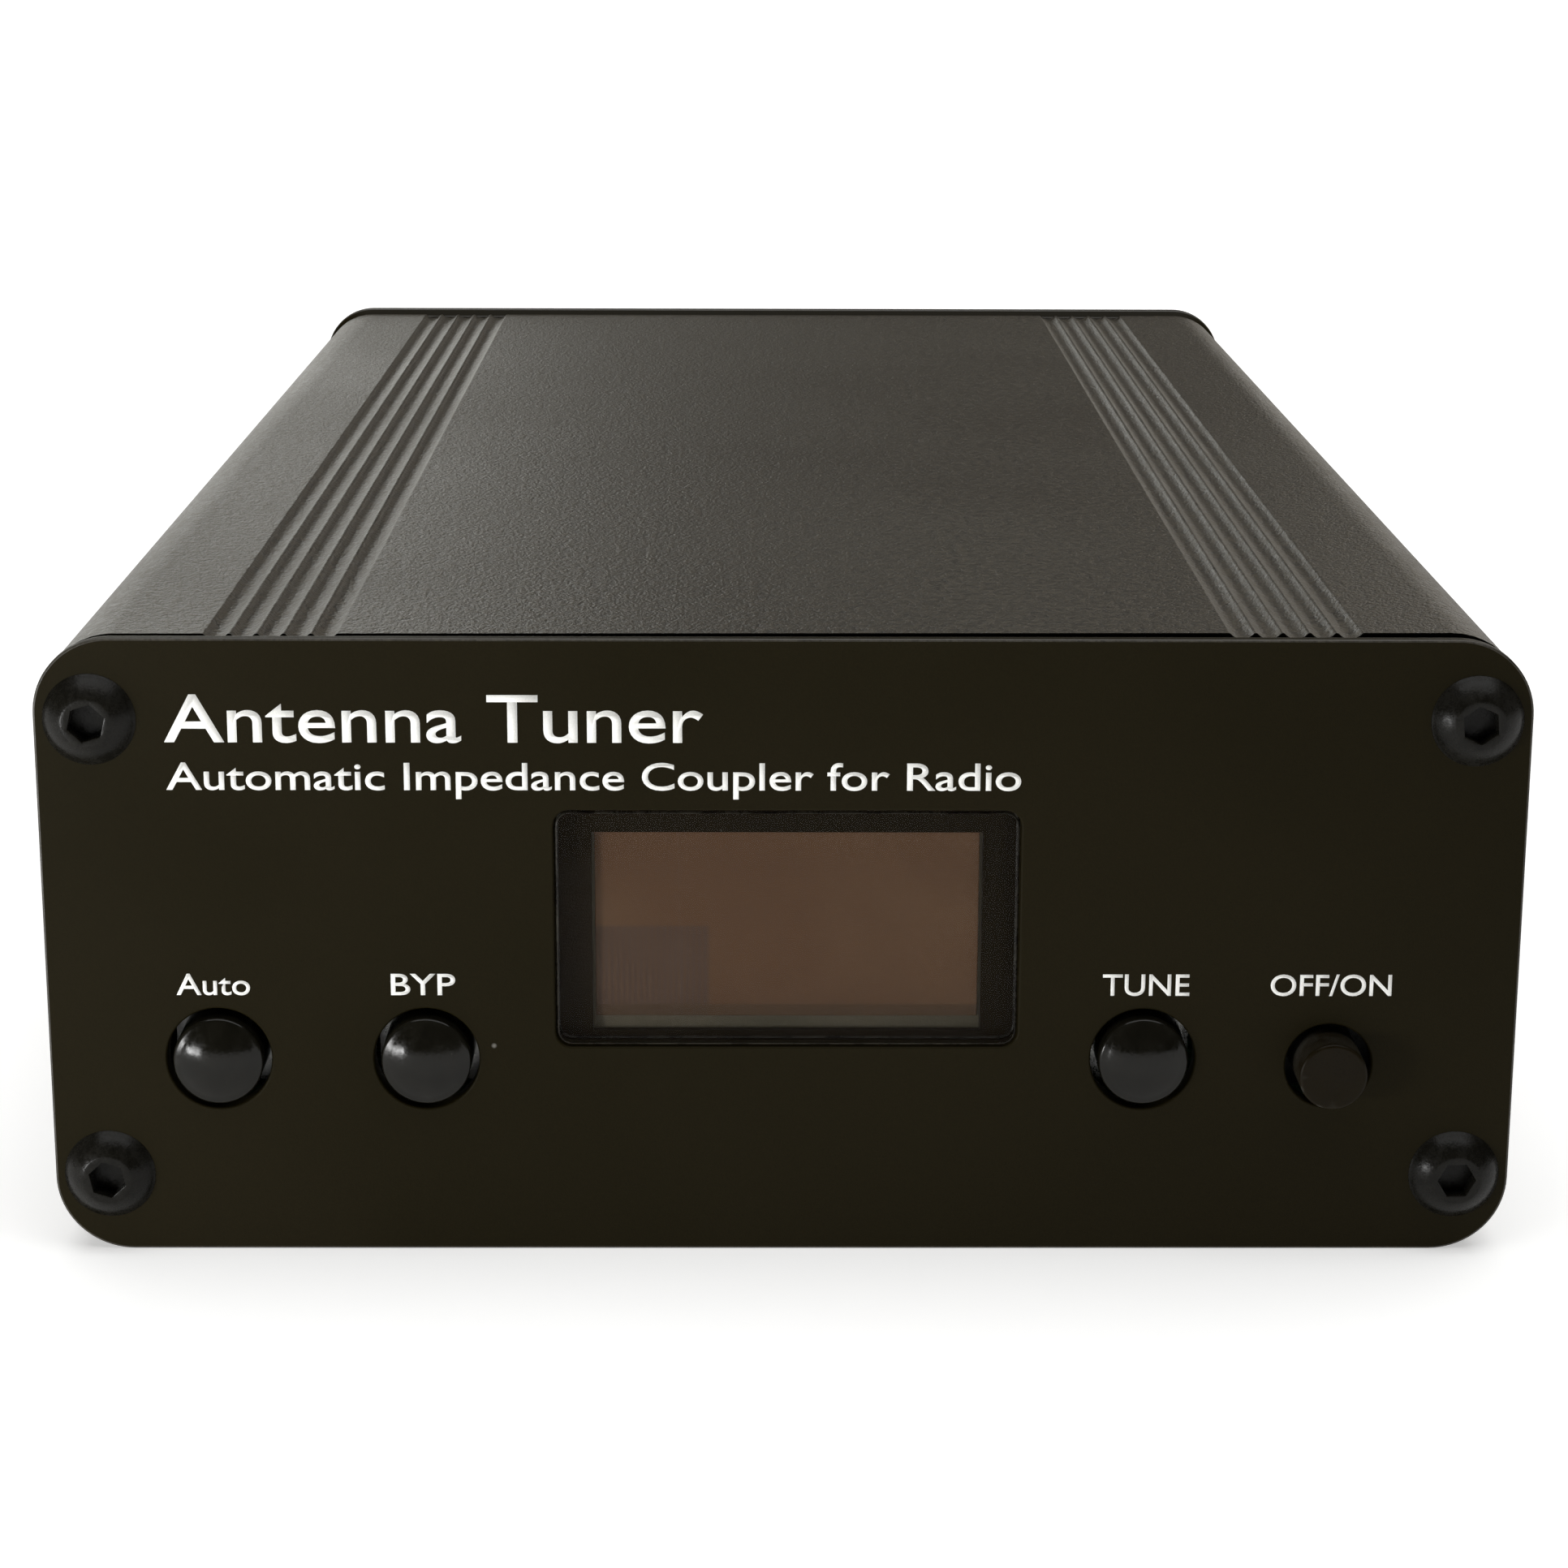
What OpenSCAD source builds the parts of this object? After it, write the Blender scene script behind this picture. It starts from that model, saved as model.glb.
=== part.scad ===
// Automatic antenna tuner in a split extruded case. Millimetres, +Z up, front towards -Y.
// The origin is at the middle of the whole object's footprint, on the surface it stands on.

/* [Case] */
// Width of the end panels
case_w = 88; // [86:0.5:96]
// Height of the end panels
case_h = 38; // [38:0.5:44]
// Length of the case over both end panels
case_len = 150; // [148:1:170]
// Corner radius of the end panels
panel_r = 4.6; // [4:0.1:5]
// Thickness of each end panel
panel_t = 1.5; // [1.2:0.1:2]
// How far the extruded body stays inside the panels' outline
body_inset = 0.1; // [0.05:0.05:0.3]
// Wall thickness of the extruded halves
wall = 2; // [1.8:0.1:2.2]
// How far the rear panel's outline stands above the case
rear_lift = 0.35; // [0:0.05:0.5]
// Gap between front panel and top half, left side
gap_left = 0.1; // [0.05:0.05:0.5]
// Gap between front panel and top half, right side
gap_right = 0.9; // [0.5:0.1:1.2]

/* [Grooves] */
// Number of grooves near each side
groove_count = 5; // [3:1:5]
// Distance of the innermost groove from the middle
groove_first = 27; // [26:0.5:28]
// Distance from groove to groove
groove_pitch = 1.6; // [1.5:0.1:1.7]
// Radius of the round cutter
groove_r = 0.9; // [0.8:0.05:1]
// Depth of each groove
groove_depth = 0.35; // [0.2:0.05:0.4]

/* [Panel screws] */
// Sideways distance of the screws from the middle
screw_x = 40.7; // [40.5:0.1:40.8]
// Height of the screws above and below the middle
screw_dz = 14.15; // [14:0.05:14.2]
// Head diameter
screw_head_d = 5.5; // [5:0.1:5.7]
// Head height
screw_head_h = 1.65; // [1.5:0.05:1.8]

/* [Push buttons] */
// Height of the three push buttons
button_z = 12.2; // [12:0.1:12.6]
// Automatic button, sideways place
auto_x = -33.85; // [-34:0.05:-33]
// Bypass button, sideways place
bypass_x = -21.4; // [-22:0.1:-20.5]
// Tune button, sideways place
tune_x = 21.6; // [20.5:0.1:22]
// Diameter of the button holes
button_hole_d = 6.3; // [6.2:0.1:6.6]
// Diameter of the domed caps
button_cap_d = 5.4; // [5:0.1:5.5]
// How far a dome stands out of the panel
button_proud = 1.3; // [1:0.1:1.6]
// Travel of a push button
button_travel = 0.3; // [0.2:0.05:0.3]

/* [Power button] */
// Sideways place
power_x = 32.8; // [32:0.1:33]
// Height
power_z = 11.8; // [11.8:0.1:12]
// Diameter of the hole
power_hole_d = 5.2; // [5:0.1:5.6]
// Diameter of the flat cap
power_cap_d = 4.1; // [3.8:0.1:4.3]
// How far the cap stands out of the panel
power_proud = 2.2; // [2:0.1:2.4]
// Travel of the power button
power_travel = 1.9; // [1.5:0.1:2]

/* [Display] */
// Sideways place of the window's middle
window_x = 0.2; // [-0.5:0.1:0.5]
// Height of the window's middle
window_z = 20.3; // [20:0.1:20.5]
// Width of the window's cut-out
window_w = 27.7; // [27:0.1:28]
// Height of the window's cut-out
window_h = 14.7; // [14.2:0.1:15]
// Height of the clear opening's middle
clear_z = 19.7; // [19.5:0.1:20.1]
// Width of the clear opening in the border
clear_w = 23.3; // [22:0.1:24]
// Height of the clear opening in the border
clear_h = 12.4; // [11:0.1:12.6]

/* [Rear connectors] */
// Sideways distance of the coaxial sockets from the middle
socket_x = 24; // [23.5:0.5:24]
// Side of the square socket flange
flange_side = 25.4; // [25:0.1:25.4]
// Thickness of the socket flange
flange_t = 1.6; // [1.5:0.1:2]
// Outer diameter of the threaded barrel
barrel_d = 15.88; // [15.7:0.01:15.88]
// How far the barrel stands out of the flange
barrel_len = 11.2; // [10:0.1:12]
// Bore of the centre contact
contact_bore_d = 4; // [3.9:0.05:4.1]
// Spacing of the socket screws
socket_pitch = 18.26; // [18:0.01:18.3]
// Height of the power jack
jack_z = 27.5; // [27:0.1:28]
// Height of the ground stud
stud_z = 10.5; // [10:0.1:11]

/* [Hidden] */
$fn = 64;
cut = 1;                                    // how far a cutting shape runs past the face it cuts

// The whole object reaches from the power cap to the end of the socket barrels.
total_len = power_proud + case_len + flange_t + barrel_len;
front_y = power_proud - total_len / 2;      // front panel's outer face
rear_y = front_y + case_len;                // rear panel's outer face
case_z = case_h / 2;
body_w = case_w - 2 * body_inset;
body_h = case_h - 2 * body_inset;
body_r = panel_r - body_inset;
body_front = front_y + panel_t;
body_rear = rear_y - panel_t;
inner_x = body_w / 2 - wall;
boss_r = 3;
screw_bore_r = 1.5;
screw_shank_r = 1.45;
seam_notch = 0.5;                           // side of the square that cuts the seam's V

// Main board and what stands on it
board_t = 1.6;
slot_z = 7;                                 // bottom of the slot that holds the board
slot_h = 1.8;
rail_h = 1.2;
rail_w = 2;
board_top = slot_z + board_t;
board_front = front_y + 5.2;
board_rear = front_y + 130;
board_w = 2 * inner_x - 0.5;
bank_count = 7;                             // switched coils, and switched capacitor pairs
bank_first = front_y + 34;
bank_pitch = 11.4;
relay_size = [20.2, 10.2, 10.6];
relay_x = 27.5;
coil_x = -9;
core_outer_r = 6.35;
core_inner_r = 3.85;
core_t = 4.8;
wire_t = 0.8;
rear_row_y = front_y + 118;

// Display stack, as depths behind the panel's outer face
tape_t = 0.5;
glass_t = 1.45;
glass_w = 26.7;
glass_h = 19.26;
display_board_t = 1.2;
display_board_side = 27.6;
header_z = case_z + 12.2;
glass_y = body_front + tape_t;
display_board_y = glass_y + glass_t;
display_back_y = display_board_y + display_board_t;

// Tactile switches, as depths behind the panel's outer face
tact_front = front_y + 4.9;
tact_cover_t = 0.3;
tact_side = 6;
tact_depth = 3.5;
tact_stem_r = 1.7;
stem_end = front_y + 6.6;
button_xs = [auto_x, bypass_x, tune_x];

// Latching power switch
latch_front = front_y + 6;
latch_w = 8;
latch_h = 6.6;
latch_wall = 0.6;
slider_len = 3.6;
slider_play = 0.3;                          // space in front of the slider at rest
spring_packed = 3;                          // room that the pressed spring needs
latch_len = 2 * latch_wall + slider_play + slider_len + power_travel + spring_packed;
slider_y = latch_front + latch_wall + slider_play;

// Rear hardware, local z measured outwards from the rear panel's outer face
socket_recess = 3.2;
socket_tail = 10;
jack_flange_t = 1.8;
jack_barrel_r = 3.95;
jack_len = 11;
stud_r = 1.95;
stud_reach = 12.5;
nut_h = 2.8;
washer_t = 0.8;
tag_gap = 0.4;                              // space for a ring tag between second washer and nut
outer_nut_z = 2 * washer_t + nut_h + tag_gap;

black = [0.08, 0.08, 0.075];
steel = [0.72, 0.73, 0.74];
copper = [0.72, 0.38, 0.2];

// ---------- shared shapes ----------

// Extrudes a flat shape, drawn as X and Z, from y0 to y1.
module along_y(y0, y1)
    translate([0, y1, 0]) rotate([90, 0, 0]) linear_extrude(y1 - y0) children();

// Turns a shape whose local z points out of the front panel, or out of the rear panel.
module at_front(x, z) translate([x, front_y, z]) rotate([90, 0, 0]) children();
module at_rear(x, z) translate([x, rear_y, z]) rotate([-90, 0, 0]) children();

module rod_y(x, z, r, y0, y1) translate([x, y1, z]) rotate([90, 0, 0]) cylinder(r = r, h = y1 - y0);

module block(low, high) translate(low) cube(high - low);

module rounded_rect(w, h, r) {
    square([w - 2 * r, h], center = true);
    square([w, h - 2 * r], center = true);
    for (x = [-1, 1], z = [-1, 1]) translate([x * (w / 2 - r), z * (h / 2 - r)]) circle(r);
}

// Places a flat cutter at each corner screw.
module at_screws() for (x = [-1, 1], z = [-1, 1])
    translate([x * screw_x, case_z + z * screw_dz]) children();

// A cap of a sphere with base radius a and height h, standing on z = 0.
module dome(a, h) {
    r = (a * a + h * h) / (2 * h);
    difference() {
        translate([0, 0, h - r]) sphere(r, $fn = 96);
        translate([0, 0, -2 * r]) cylinder(r = 2 * r, h = 2 * r);
    }
}

// A hexagonal nut standing on z = 0, across-flats width af.
module hex_nut(af, h, bore_r) difference() {
    cylinder(d = af / cos(30), h = h, $fn = 6);
    translate([0, 0, -cut]) cylinder(r = bore_r, h = h + 2 * cut);
}

// A button-head socket screw: the head stands on z = 0 and the shank runs down.
module button_screw(shank) {
    rim = 0.2;
    difference() {
        union() {
            translate([0, 0, rim]) dome(screw_head_d / 2, screw_head_h - rim);
            cylinder(d = screw_head_d, h = rim);
            translate([0, 0, -shank]) cylinder(r = screw_shank_r, h = shank);
        }
        translate([0, 0, 0.6]) cylinder(d = 2.3, h = screw_head_h, $fn = 6);
    }
}

// Point at fraction t of a smooth curve through four control points.
function bezier(p, t) = pow(1 - t, 3) * p[0] + 3 * pow(1 - t, 2) * t * p[1]
    + 3 * (1 - t) * t * t * p[2] + pow(t, 3) * p[3];
function bezier_path(p, steps) = [for (i = [0:steps]) bezier(p, i / steps)];
function unit(v) = v / norm(v);
function heading(path, i) = unit(path[min(i + 1, len(path) - 1)] - path[max(i - 1, 0)]);

// A round tube swept along a path; side is a direction that the path never runs along.
module tube(path, r, side, sides = 8) {
    n = len(path);
    rings = [for (i = [0:n - 1]) let (t = heading(path, i), u = unit(cross(t, side)), v = cross(t, u))
        for (k = [0:sides - 1]) path[i] + r * (cos(360 * k / sides) * u + sin(360 * k / sides) * v)];
    walls = [for (i = [0:n - 2], k = [0:sides - 1]) let (a = i * sides, m = (k + 1) % sides)
        each [[a + k, a + m, a + sides + m], [a + k, a + sides + m, a + sides + k]]];
    start = [[for (k = [0:sides - 1]) sides - 1 - k]];
    end = [[for (k = [0:sides - 1]) (n - 1) * sides + k]];
    polyhedron(rings, concat(walls, start, end));
}

// ---------- case ----------

// Cross-section of one extruded half, drawn about the case's middle as the lower half.
module half_profile() difference() {
    union() {
        difference() {
            intersection() {
                rounded_rect(body_w, body_h, body_r);
                translate([-body_w, -body_h]) square([2 * body_w, body_h]);
            }
            difference() {
                rounded_rect(body_w - 2 * wall, body_h - 2 * wall, body_r - wall);
                for (x = [-1, 1]) translate([x * screw_x, -screw_dz]) circle(boss_r);
                rail_z = slot_z + slot_h + rail_h / 2 - case_z;
                for (x = [-1, 1]) translate([x * (inner_x - rail_w / 2), rail_z])
                    square([rail_w + 0.2, rail_h], center = true);
            }
        }
        translate([body_w / 2 - 1.05, 0]) square([0.6, 1.6], center = true);
    }
    translate([-body_w / 2 + 1.05, 0]) square([0.8, 2], center = true);
    for (x = [-1, 1]) {
        translate([x * screw_x, -screw_dz]) circle(screw_bore_r);
        translate([x * (inner_x - 3), slot_z + slot_h / 2 - case_z]) square([6, slot_h], center = true);
        translate([x * body_w / 2, 0]) rotate(45) square(seam_notch, center = true);
        for (i = [0:groove_count - 1])
            translate([x * (groove_first + i * groove_pitch), groove_depth - groove_r - body_h / 2])
                circle(groove_r);
    }
}

module bottom_shell() color([0.2, 0.2, 0.19])
    along_y(body_front, body_rear) translate([0, case_z]) half_profile();

// The top half's front end is sawn slightly out of square, which leaves the tapering gap.
module top_shell() color([0.3, 0.3, 0.28]) difference() {
    along_y(body_front, body_rear) translate([0, case_z]) rotate(180) half_profile();
    translate([0, body_front + (gap_left + gap_right) / 2, 0])
        rotate([0, 0, atan((gap_right - gap_left) / body_w)])
            translate([-case_w, -case_w, -cut]) cube([2 * case_w, case_w, case_h + 2 * cut]);
}

module front_panel() color(black) along_y(front_y, body_front) difference() {
    translate([0, case_z]) rounded_rect(case_w, case_h, panel_r);
    at_screws() circle(d = 3.4);
    for (x = button_xs) translate([x, button_z]) circle(d = button_hole_d);
    translate([power_x, power_z]) circle(d = power_hole_d);
    translate([window_x, window_z]) rounded_rect(window_w, window_h, 1);
}

module rear_panel() color(black) along_y(body_rear, rear_y) difference() {
    translate([0, case_z + rear_lift]) rounded_rect(case_w, case_h, panel_r);
    at_screws() circle(d = 3.4);
    for (x = [-1, 1]) translate([x * socket_x, case_z]) {
        circle(r = 7.5);
        for (u = [-1, 1], v = [-1, 1]) translate([u, v] * socket_pitch / 2) circle(d = 3.4);
    }
    translate([0, jack_z]) circle(r = jack_barrel_r + 0.1);
    translate([0, stud_z]) circle(r = stud_r + 0.15);
}

module front_panel_screws() color(black)
    for (x = [-1, 1], z = [-1, 1]) at_front(x * screw_x, case_z + z * screw_dz) button_screw(10);

module rear_panel_screws() color(black)
    for (x = [-1, 1], z = [-1, 1]) at_rear(x * screw_x, case_z + z * screw_dz) button_screw(10);

// ---------- display ----------

module display_window() color([0.1, 0.1, 0.1, 0.5]) along_y(front_y + 0.1, body_front)
    translate([window_x, window_z]) rounded_rect(window_w - 0.2, window_h - 0.2, 0.9);

module window_tape() color(black) along_y(body_front, glass_y) difference() {
    translate([window_x, window_z]) square([31, 22], center = true);
    translate([window_x, clear_z]) square([clear_w, clear_h], center = true);
}

module display_glass() color([0.33, 0.27, 0.2]) along_y(glass_y, display_board_y)
    translate([window_x, clear_z - 0.7]) square([glass_w, glass_h], center = true);

module display_board() color([0.05, 0.12, 0.3]) along_y(display_board_y, display_back_y)
    translate([window_x, case_z]) difference() {
        square(display_board_side, center = true);
        for (x = [-1, 1], z = [-1, 1]) translate([x, z] * 11.8) circle(d = 2);
    }

header_pins = 4;
header_pitch = 2.54;
module header_row() for (i = [0:header_pins - 1])
    translate([window_x + (i - (header_pins - 1) / 2) * header_pitch, 0, 0]) children();

module display_header() color(black) {
    block([window_x - 5.1, display_back_y, header_z - 1.27],
        [window_x + 5.1, display_back_y + 2.5, header_z + 1.27]);
    header_row()
        block([-0.3, display_back_y + 2, header_z - 0.3], [0.3, display_back_y + 8, header_z + 0.3]);
}

// ---------- push buttons ----------

module push_cap(x) color(black) at_front(x, button_z) {
    rim = 0.25;
    skirt = 3.3;
    difference() {
        union() {
            translate([0, 0, rim]) dome(button_cap_d / 2, button_proud - rim);
            translate([0, 0, -skirt]) cylinder(d = button_cap_d, h = skirt + rim);
        }
        translate([0, 0, -skirt - cut]) cylinder(r = tact_stem_r + 0.05, h = skirt - 1 + cut);
    }
}
module auto_button_cap() push_cap(auto_x);
module bypass_button_cap() push_cap(bypass_x);
module tune_button_cap() push_cap(tune_x);

module switch_stem(x) color([0.15, 0.15, 0.15]) {
    rod_y(x, button_z, tact_stem_r, front_y + 1.1, stem_end);
    rod_y(x, button_z, 2.1, stem_end - 0.8, stem_end);
}
module auto_switch_stem() switch_stem(auto_x);
module bypass_switch_stem() switch_stem(bypass_x);
module tune_switch_stem() switch_stem(tune_x);

module tact_switch_housings() color([0.12, 0.12, 0.12]) for (x = button_xs) difference() {
    block([x - tact_side / 2, tact_front + tact_cover_t, button_z - tact_side / 2],
        [x + tact_side / 2, tact_front + tact_cover_t + tact_depth, button_z + tact_side / 2]);
    rod_y(x, button_z, 2.4, tact_front, stem_end + button_travel + 0.3);
}

// Steel front plate whose two side wings stand on the board.
module tact_switch_covers() color(steel) for (x = button_xs) {
    half = tact_side / 2;
    wing = 0.3;
    difference() {
        union() {
            block([x - half - wing, tact_front, button_z - half],
                [x + half + wing, tact_front + tact_cover_t, button_z + half]);
            for (s = [-1, 1]) translate([x + s * (half + wing / 2), 0, 0])
                block([-wing / 2, tact_front, board_top], [wing / 2, tact_front + 3, button_z + 1]);
        }
        rod_y(x, button_z, tact_stem_r + 0.15, tact_front - cut, tact_front + cut);
    }
}

// ---------- power switch ----------

module power_button_cap() color(black) at_front(power_x, power_z) {
    chamfer = 0.2;
    reach = 3.2;
    difference() {
        union() {
            translate([0, 0, -reach]) cylinder(d = power_cap_d, h = reach + power_proud - chamfer);
            translate([0, 0, power_proud - chamfer])
                cylinder(d1 = power_cap_d, d2 = power_cap_d - 2 * chamfer, h = chamfer);
        }
        translate([0, 0, -reach - cut]) cylinder(r = 1.45, h = reach - 1 + cut);
    }
}

module power_switch_plunger() color([0.9, 0.9, 0.88]) {
    rod_y(power_x, power_z, 1.4, front_y + 1.1, slider_y + 0.5);
    block([power_x - 2.3, slider_y, power_z - 2.1], [power_x + 2.3, slider_y + slider_len, power_z + 2.1]);
}

module power_switch_housing() color([0.12, 0.12, 0.12]) difference() {
    block([power_x - latch_w / 2, latch_front, board_top],
        [power_x + latch_w / 2, latch_front + latch_len, board_top + latch_h]);
    block([power_x - 2.6, latch_front + latch_wall, power_z - 2.4],
        [power_x + 2.6, latch_front + latch_len - latch_wall, power_z + 2.4]);
    rod_y(power_x, power_z, 1.7, latch_front - cut, latch_front + cut);
}

module power_switch_cover() color(steel) {
    top = board_top + latch_h;
    sheet = 0.3;
    half = latch_w / 2;
    block([power_x - half - sheet, latch_front + 1, top],
        [power_x + half + sheet, latch_front + latch_len - 1, top + sheet]);
    for (s = [-1, 1]) translate([power_x + s * (half + sheet / 2), 0, 0])
        block([-sheet / 2, latch_front + 1, top - 3],
            [sheet / 2, latch_front + latch_len - 1, top + sheet]);
}

// Return spring between the plunger's slider and the housing's back wall.
module power_spring() color(steel) {
    turns = 5;
    steps = 10;
    y0 = slider_y + slider_len + 0.3;
    y1 = latch_front + latch_len - latch_wall - 0.3;
    path = [for (i = [0:turns * steps]) let (a = 360 * i / steps)
        [power_x + 1.2 * cos(a), y0 + (y1 - y0) * i / (turns * steps), power_z + 1.2 * sin(a)]];
    tube(path, 0.15, [0, 1, 0], 5);
}

// ---------- main board ----------

module main_board() color([0.05, 0.25, 0.12]) difference() {
    block([-board_w / 2, board_front, slot_z + 0.05], [board_w / 2, board_rear, board_top]);
    for (x = [-1, 1], y = [board_front + 22, board_rear - 5])
        translate([x * 15.5, y, 0]) cylinder(d = 3.2, h = case_h);
}

// Runs its children once at each coil and capacitor position along the board.
module along_bank(from = 0, to = bank_count - 1) for (i = [from:to])
    translate([0, bank_first + i * bank_pitch, board_top]) children();

module relay() {
    translate([0, 0, relay_size[2] / 2 + 0.15]) cube(relay_size - [0, 0, 0.3], center = true);
    for (x = [-8, -2, 6, 8], y = [-1, 1]) translate([x, y * 3.8, 0]) cylinder(r = 0.25, h = 1);
}

module relays() color([0.1, 0.3, 0.55]) {
    for (x = [-1, 1]) along_bank() translate([x * relay_x, 0, 0]) relay();
    translate([0, rear_row_y - 3, board_top]) relay();
}

// A ring core standing on edge, its axis along Y, its middle at the origin.
module ring_core() rotate([90, 0, 0]) difference() {
    cylinder(r = core_outer_r, h = core_t, center = true);
    cylinder(r = core_inner_r, h = core_t + cut, center = true);
}

core_rise = core_outer_r + 1.2;
// Square-section turns round a standing ring core, with two leads down to the board.
module ring_winding(turns) {
    span = 300;
    mid = (core_outer_r + core_inner_r) / 2;
    section = core_outer_r - core_inner_r;
    clear = 0.1;
    outer = wire_t + clear;
    for (i = [0:turns - 1]) rotate([0, 120 + span * (i / (turns - 1)), 0]) translate([mid, 0, 0])
        linear_extrude(wire_t, center = true) difference() {
            square([section + 2 * outer, core_t + 2 * outer], center = true);
            square([section + 2 * clear, core_t + 2 * clear], center = true);
        }
    for (y = [-1, 1]) translate([0, y * (core_t / 2 + 0.5), -core_rise]) cylinder(r = wire_t / 2, h = 1.5);
}

module ring_cores() color([0.75, 0.15, 0.1]) along_bank(3) translate([coil_x, 0, core_rise]) ring_core();
module ring_windings() color(copper) for (i = [3:bank_count - 1])
    along_bank(i, i) translate([coil_x, 0, core_rise]) ring_winding(7 + 2 * i);

// An air-wound coil lying along X: one wire that rises from the board, winds round and comes down.
module air_coil(turns) {
    steps = 14;
    r = 3;
    pitch = 1.5;
    rise = 4.2;
    half = (turns + 0.5) * pitch / 2;
    coil = [for (i = [0:(turns + 0.5) * steps]) let (a = 360 * i / steps)
        [i * pitch / steps - half, -r * cos(a), rise + r * sin(a)]];
    tube(concat([[-half, -r, 0]], coil, [[half, r, 0]]), 0.5, [1, 0, 0], 6);
}
module air_coils() color(copper) for (i = [0:2])
    along_bank(i, i) translate([coil_x, 0, 0]) air_coil(4 + i);

module disc_capacitors() color([0.2, 0.35, 0.7]) along_bank() for (x = [5, 12.6]) translate([x, 0, 0]) {
    translate([0, 0, 5]) rotate([90, 0, 0]) cylinder(r = 3.5, h = 2.4, center = true);
    for (s = [-1, 1]) translate([s * 2.4, 0, 0]) cylinder(r = 0.3, h = 4);
}

coupler_xs = [-32, -18];
module at_coupler() for (x = coupler_xs) translate([x, rear_row_y, board_top + core_rise]) children();
module coupler_cores() color([0.2, 0.2, 0.2]) at_coupler() ring_core();
module coupler_windings() color(copper) at_coupler() ring_winding(10);
module coupler_lines() color([0.9, 0.88, 0.8]) at_coupler() {
    rotate([90, 0, 0]) cylinder(r = 1.5, h = 15, center = true);
    for (y = [-1, 1]) translate([0, y * 7, -core_rise]) cylinder(r = 0.5, h = core_rise - 1);
}

// A dual in-line chip with its legs, standing on z = 0 and lying along X.
module dip_chip(length, width, pins) {
    translate([0, 0, 2.2]) cube([length, width - 1.4, 3], center = true);
    for (i = [0:pins / 2 - 1], y = [-1, 1])
        translate([(i - (pins / 2 - 1) / 2) * 2.54, y * (width / 2 - 0.5), 1.2])
            cube([0.6, 0.8, 2.4], center = true);
}

chip_y = front_y + 20;
module chip_socket() color(black) translate([0, chip_y, board_top]) difference() {
    translate([0, 0, 1.5]) cube([36, 10, 3], center = true);
    cube([30, 5, 8], center = true);
}
module controller_chip() color([0.1, 0.1, 0.1]) translate([0, chip_y, board_top + 3]) dip_chip(35, 8.8, 28);
module driver_chips() color([0.1, 0.1, 0.1])
    for (x = [-1, 1]) translate([x * 29, chip_y + 3, board_top]) dip_chip(16.8, 7.6, 12);

module voltage_regulator() color([0.15, 0.15, 0.15]) translate([34, rear_row_y - 7, board_top]) {
    translate([0, 0, 8]) cube([10, 4.4, 9], center = true);
    translate([0, 1.6, 10.5]) difference() {
        cube([10, 1.2, 16], center = true);
        translate([0, 0, 5]) rotate([90, 0, 0]) cylinder(d = 3.6, h = 4, center = true);
    }
    for (x = [-2.54, 0, 2.54]) translate([x, 0, 2]) cube([0.8, 0.6, 4], center = true);
}

module filter_capacitors() color([0.1, 0.1, 0.2]) for (p = [[17, -6, 4], [17, 5, 3.2], [26, 7, 3.2]])
    translate([p[0], rear_row_y + p[1], board_top]) cylinder(r = p[2], h = 3 * p[2]);

display_plug_y = front_y + 11;
power_plug = [7, board_rear - 5];
module board_connectors() color([0.92, 0.9, 0.85]) {
    block([window_x - 6, display_plug_y - 2.5, board_top],
        [window_x + 6, display_plug_y + 2.5, board_top + 3.4]);
    block([power_plug[0] - 3.5, power_plug[1] - 3, board_top],
        [power_plug[0] + 3.5, power_plug[1] + 3, board_top + 6]);
}

// Flat four-way cable from the display's header down to its connector on the board.
module display_cable() color([0.5, 0.5, 0.5]) {
    top_y = display_back_y + 3;
    plug_len = 7;
    path = bezier_path([[top_y + plug_len, header_z], [top_y + plug_len + 7, header_z],
        [display_plug_y + 1, 25], [display_plug_y, board_top + 7]], 16);
    half = 0.6;
    left = [for (i = [0:16]) let (t = heading(path, i)) path[i] + half * [-t[1], t[0]]];
    right = [for (i = [16:-1:0]) let (t = heading(path, i)) path[i] - half * [-t[1], t[0]]];
    translate([window_x - 5.08, 0, 0]) rotate([90, 0, 90])
        linear_extrude(10.16) polygon(concat(left, right));
    difference() {
        block([window_x - 5.2, top_y, header_z - 1.3],
            [window_x + 5.2, top_y + plug_len + 0.2, header_z + 1.3]);
        header_row()
            block([-0.35, top_y - cut, header_z - 0.35], [0.35, top_y + 5.2, header_z + 0.35]);
    }
    block([window_x - 5.2, display_plug_y - 1.4, board_top + 3.4],
        [window_x + 5.2, display_plug_y + 1.4, board_top + 7.2]);
}

// ---------- rear connectors ----------

module socket_shell(x) color(steel) at_rear(x, case_z) difference() {
    union() {
        translate([0, 0, flange_t / 2]) cube([flange_side, flange_side, flange_t], center = true);
        cylinder(d = barrel_d, h = flange_t + barrel_len);
        translate([0, 0, -3]) cylinder(r = 7.2, h = 4);
    }
    translate([0, 0, -cut - 3]) cylinder(r = 6.3, h = 30);
    for (u = [-1, 1], v = [-1, 1])
        translate([u, v, 0] * socket_pitch / 2 - [0, 0, cut]) cylinder(d = 3.3, h = 4);
    for (a = [0, 90]) rotate([0, 0, a]) translate([0, 0, flange_t + barrel_len])
        cube([20, 1.4, 2], center = true);
}

module socket_insulator(x) color([0.95, 0.95, 0.93]) at_rear(x, case_z) {
    top = flange_t + barrel_len - socket_recess;
    difference() {
        translate([0, 0, -4.6]) cylinder(r = 6.28, h = top + 4.6);
        translate([0, 0, -6]) cylinder(r = 2.65, h = 30);
    }
}

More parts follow.
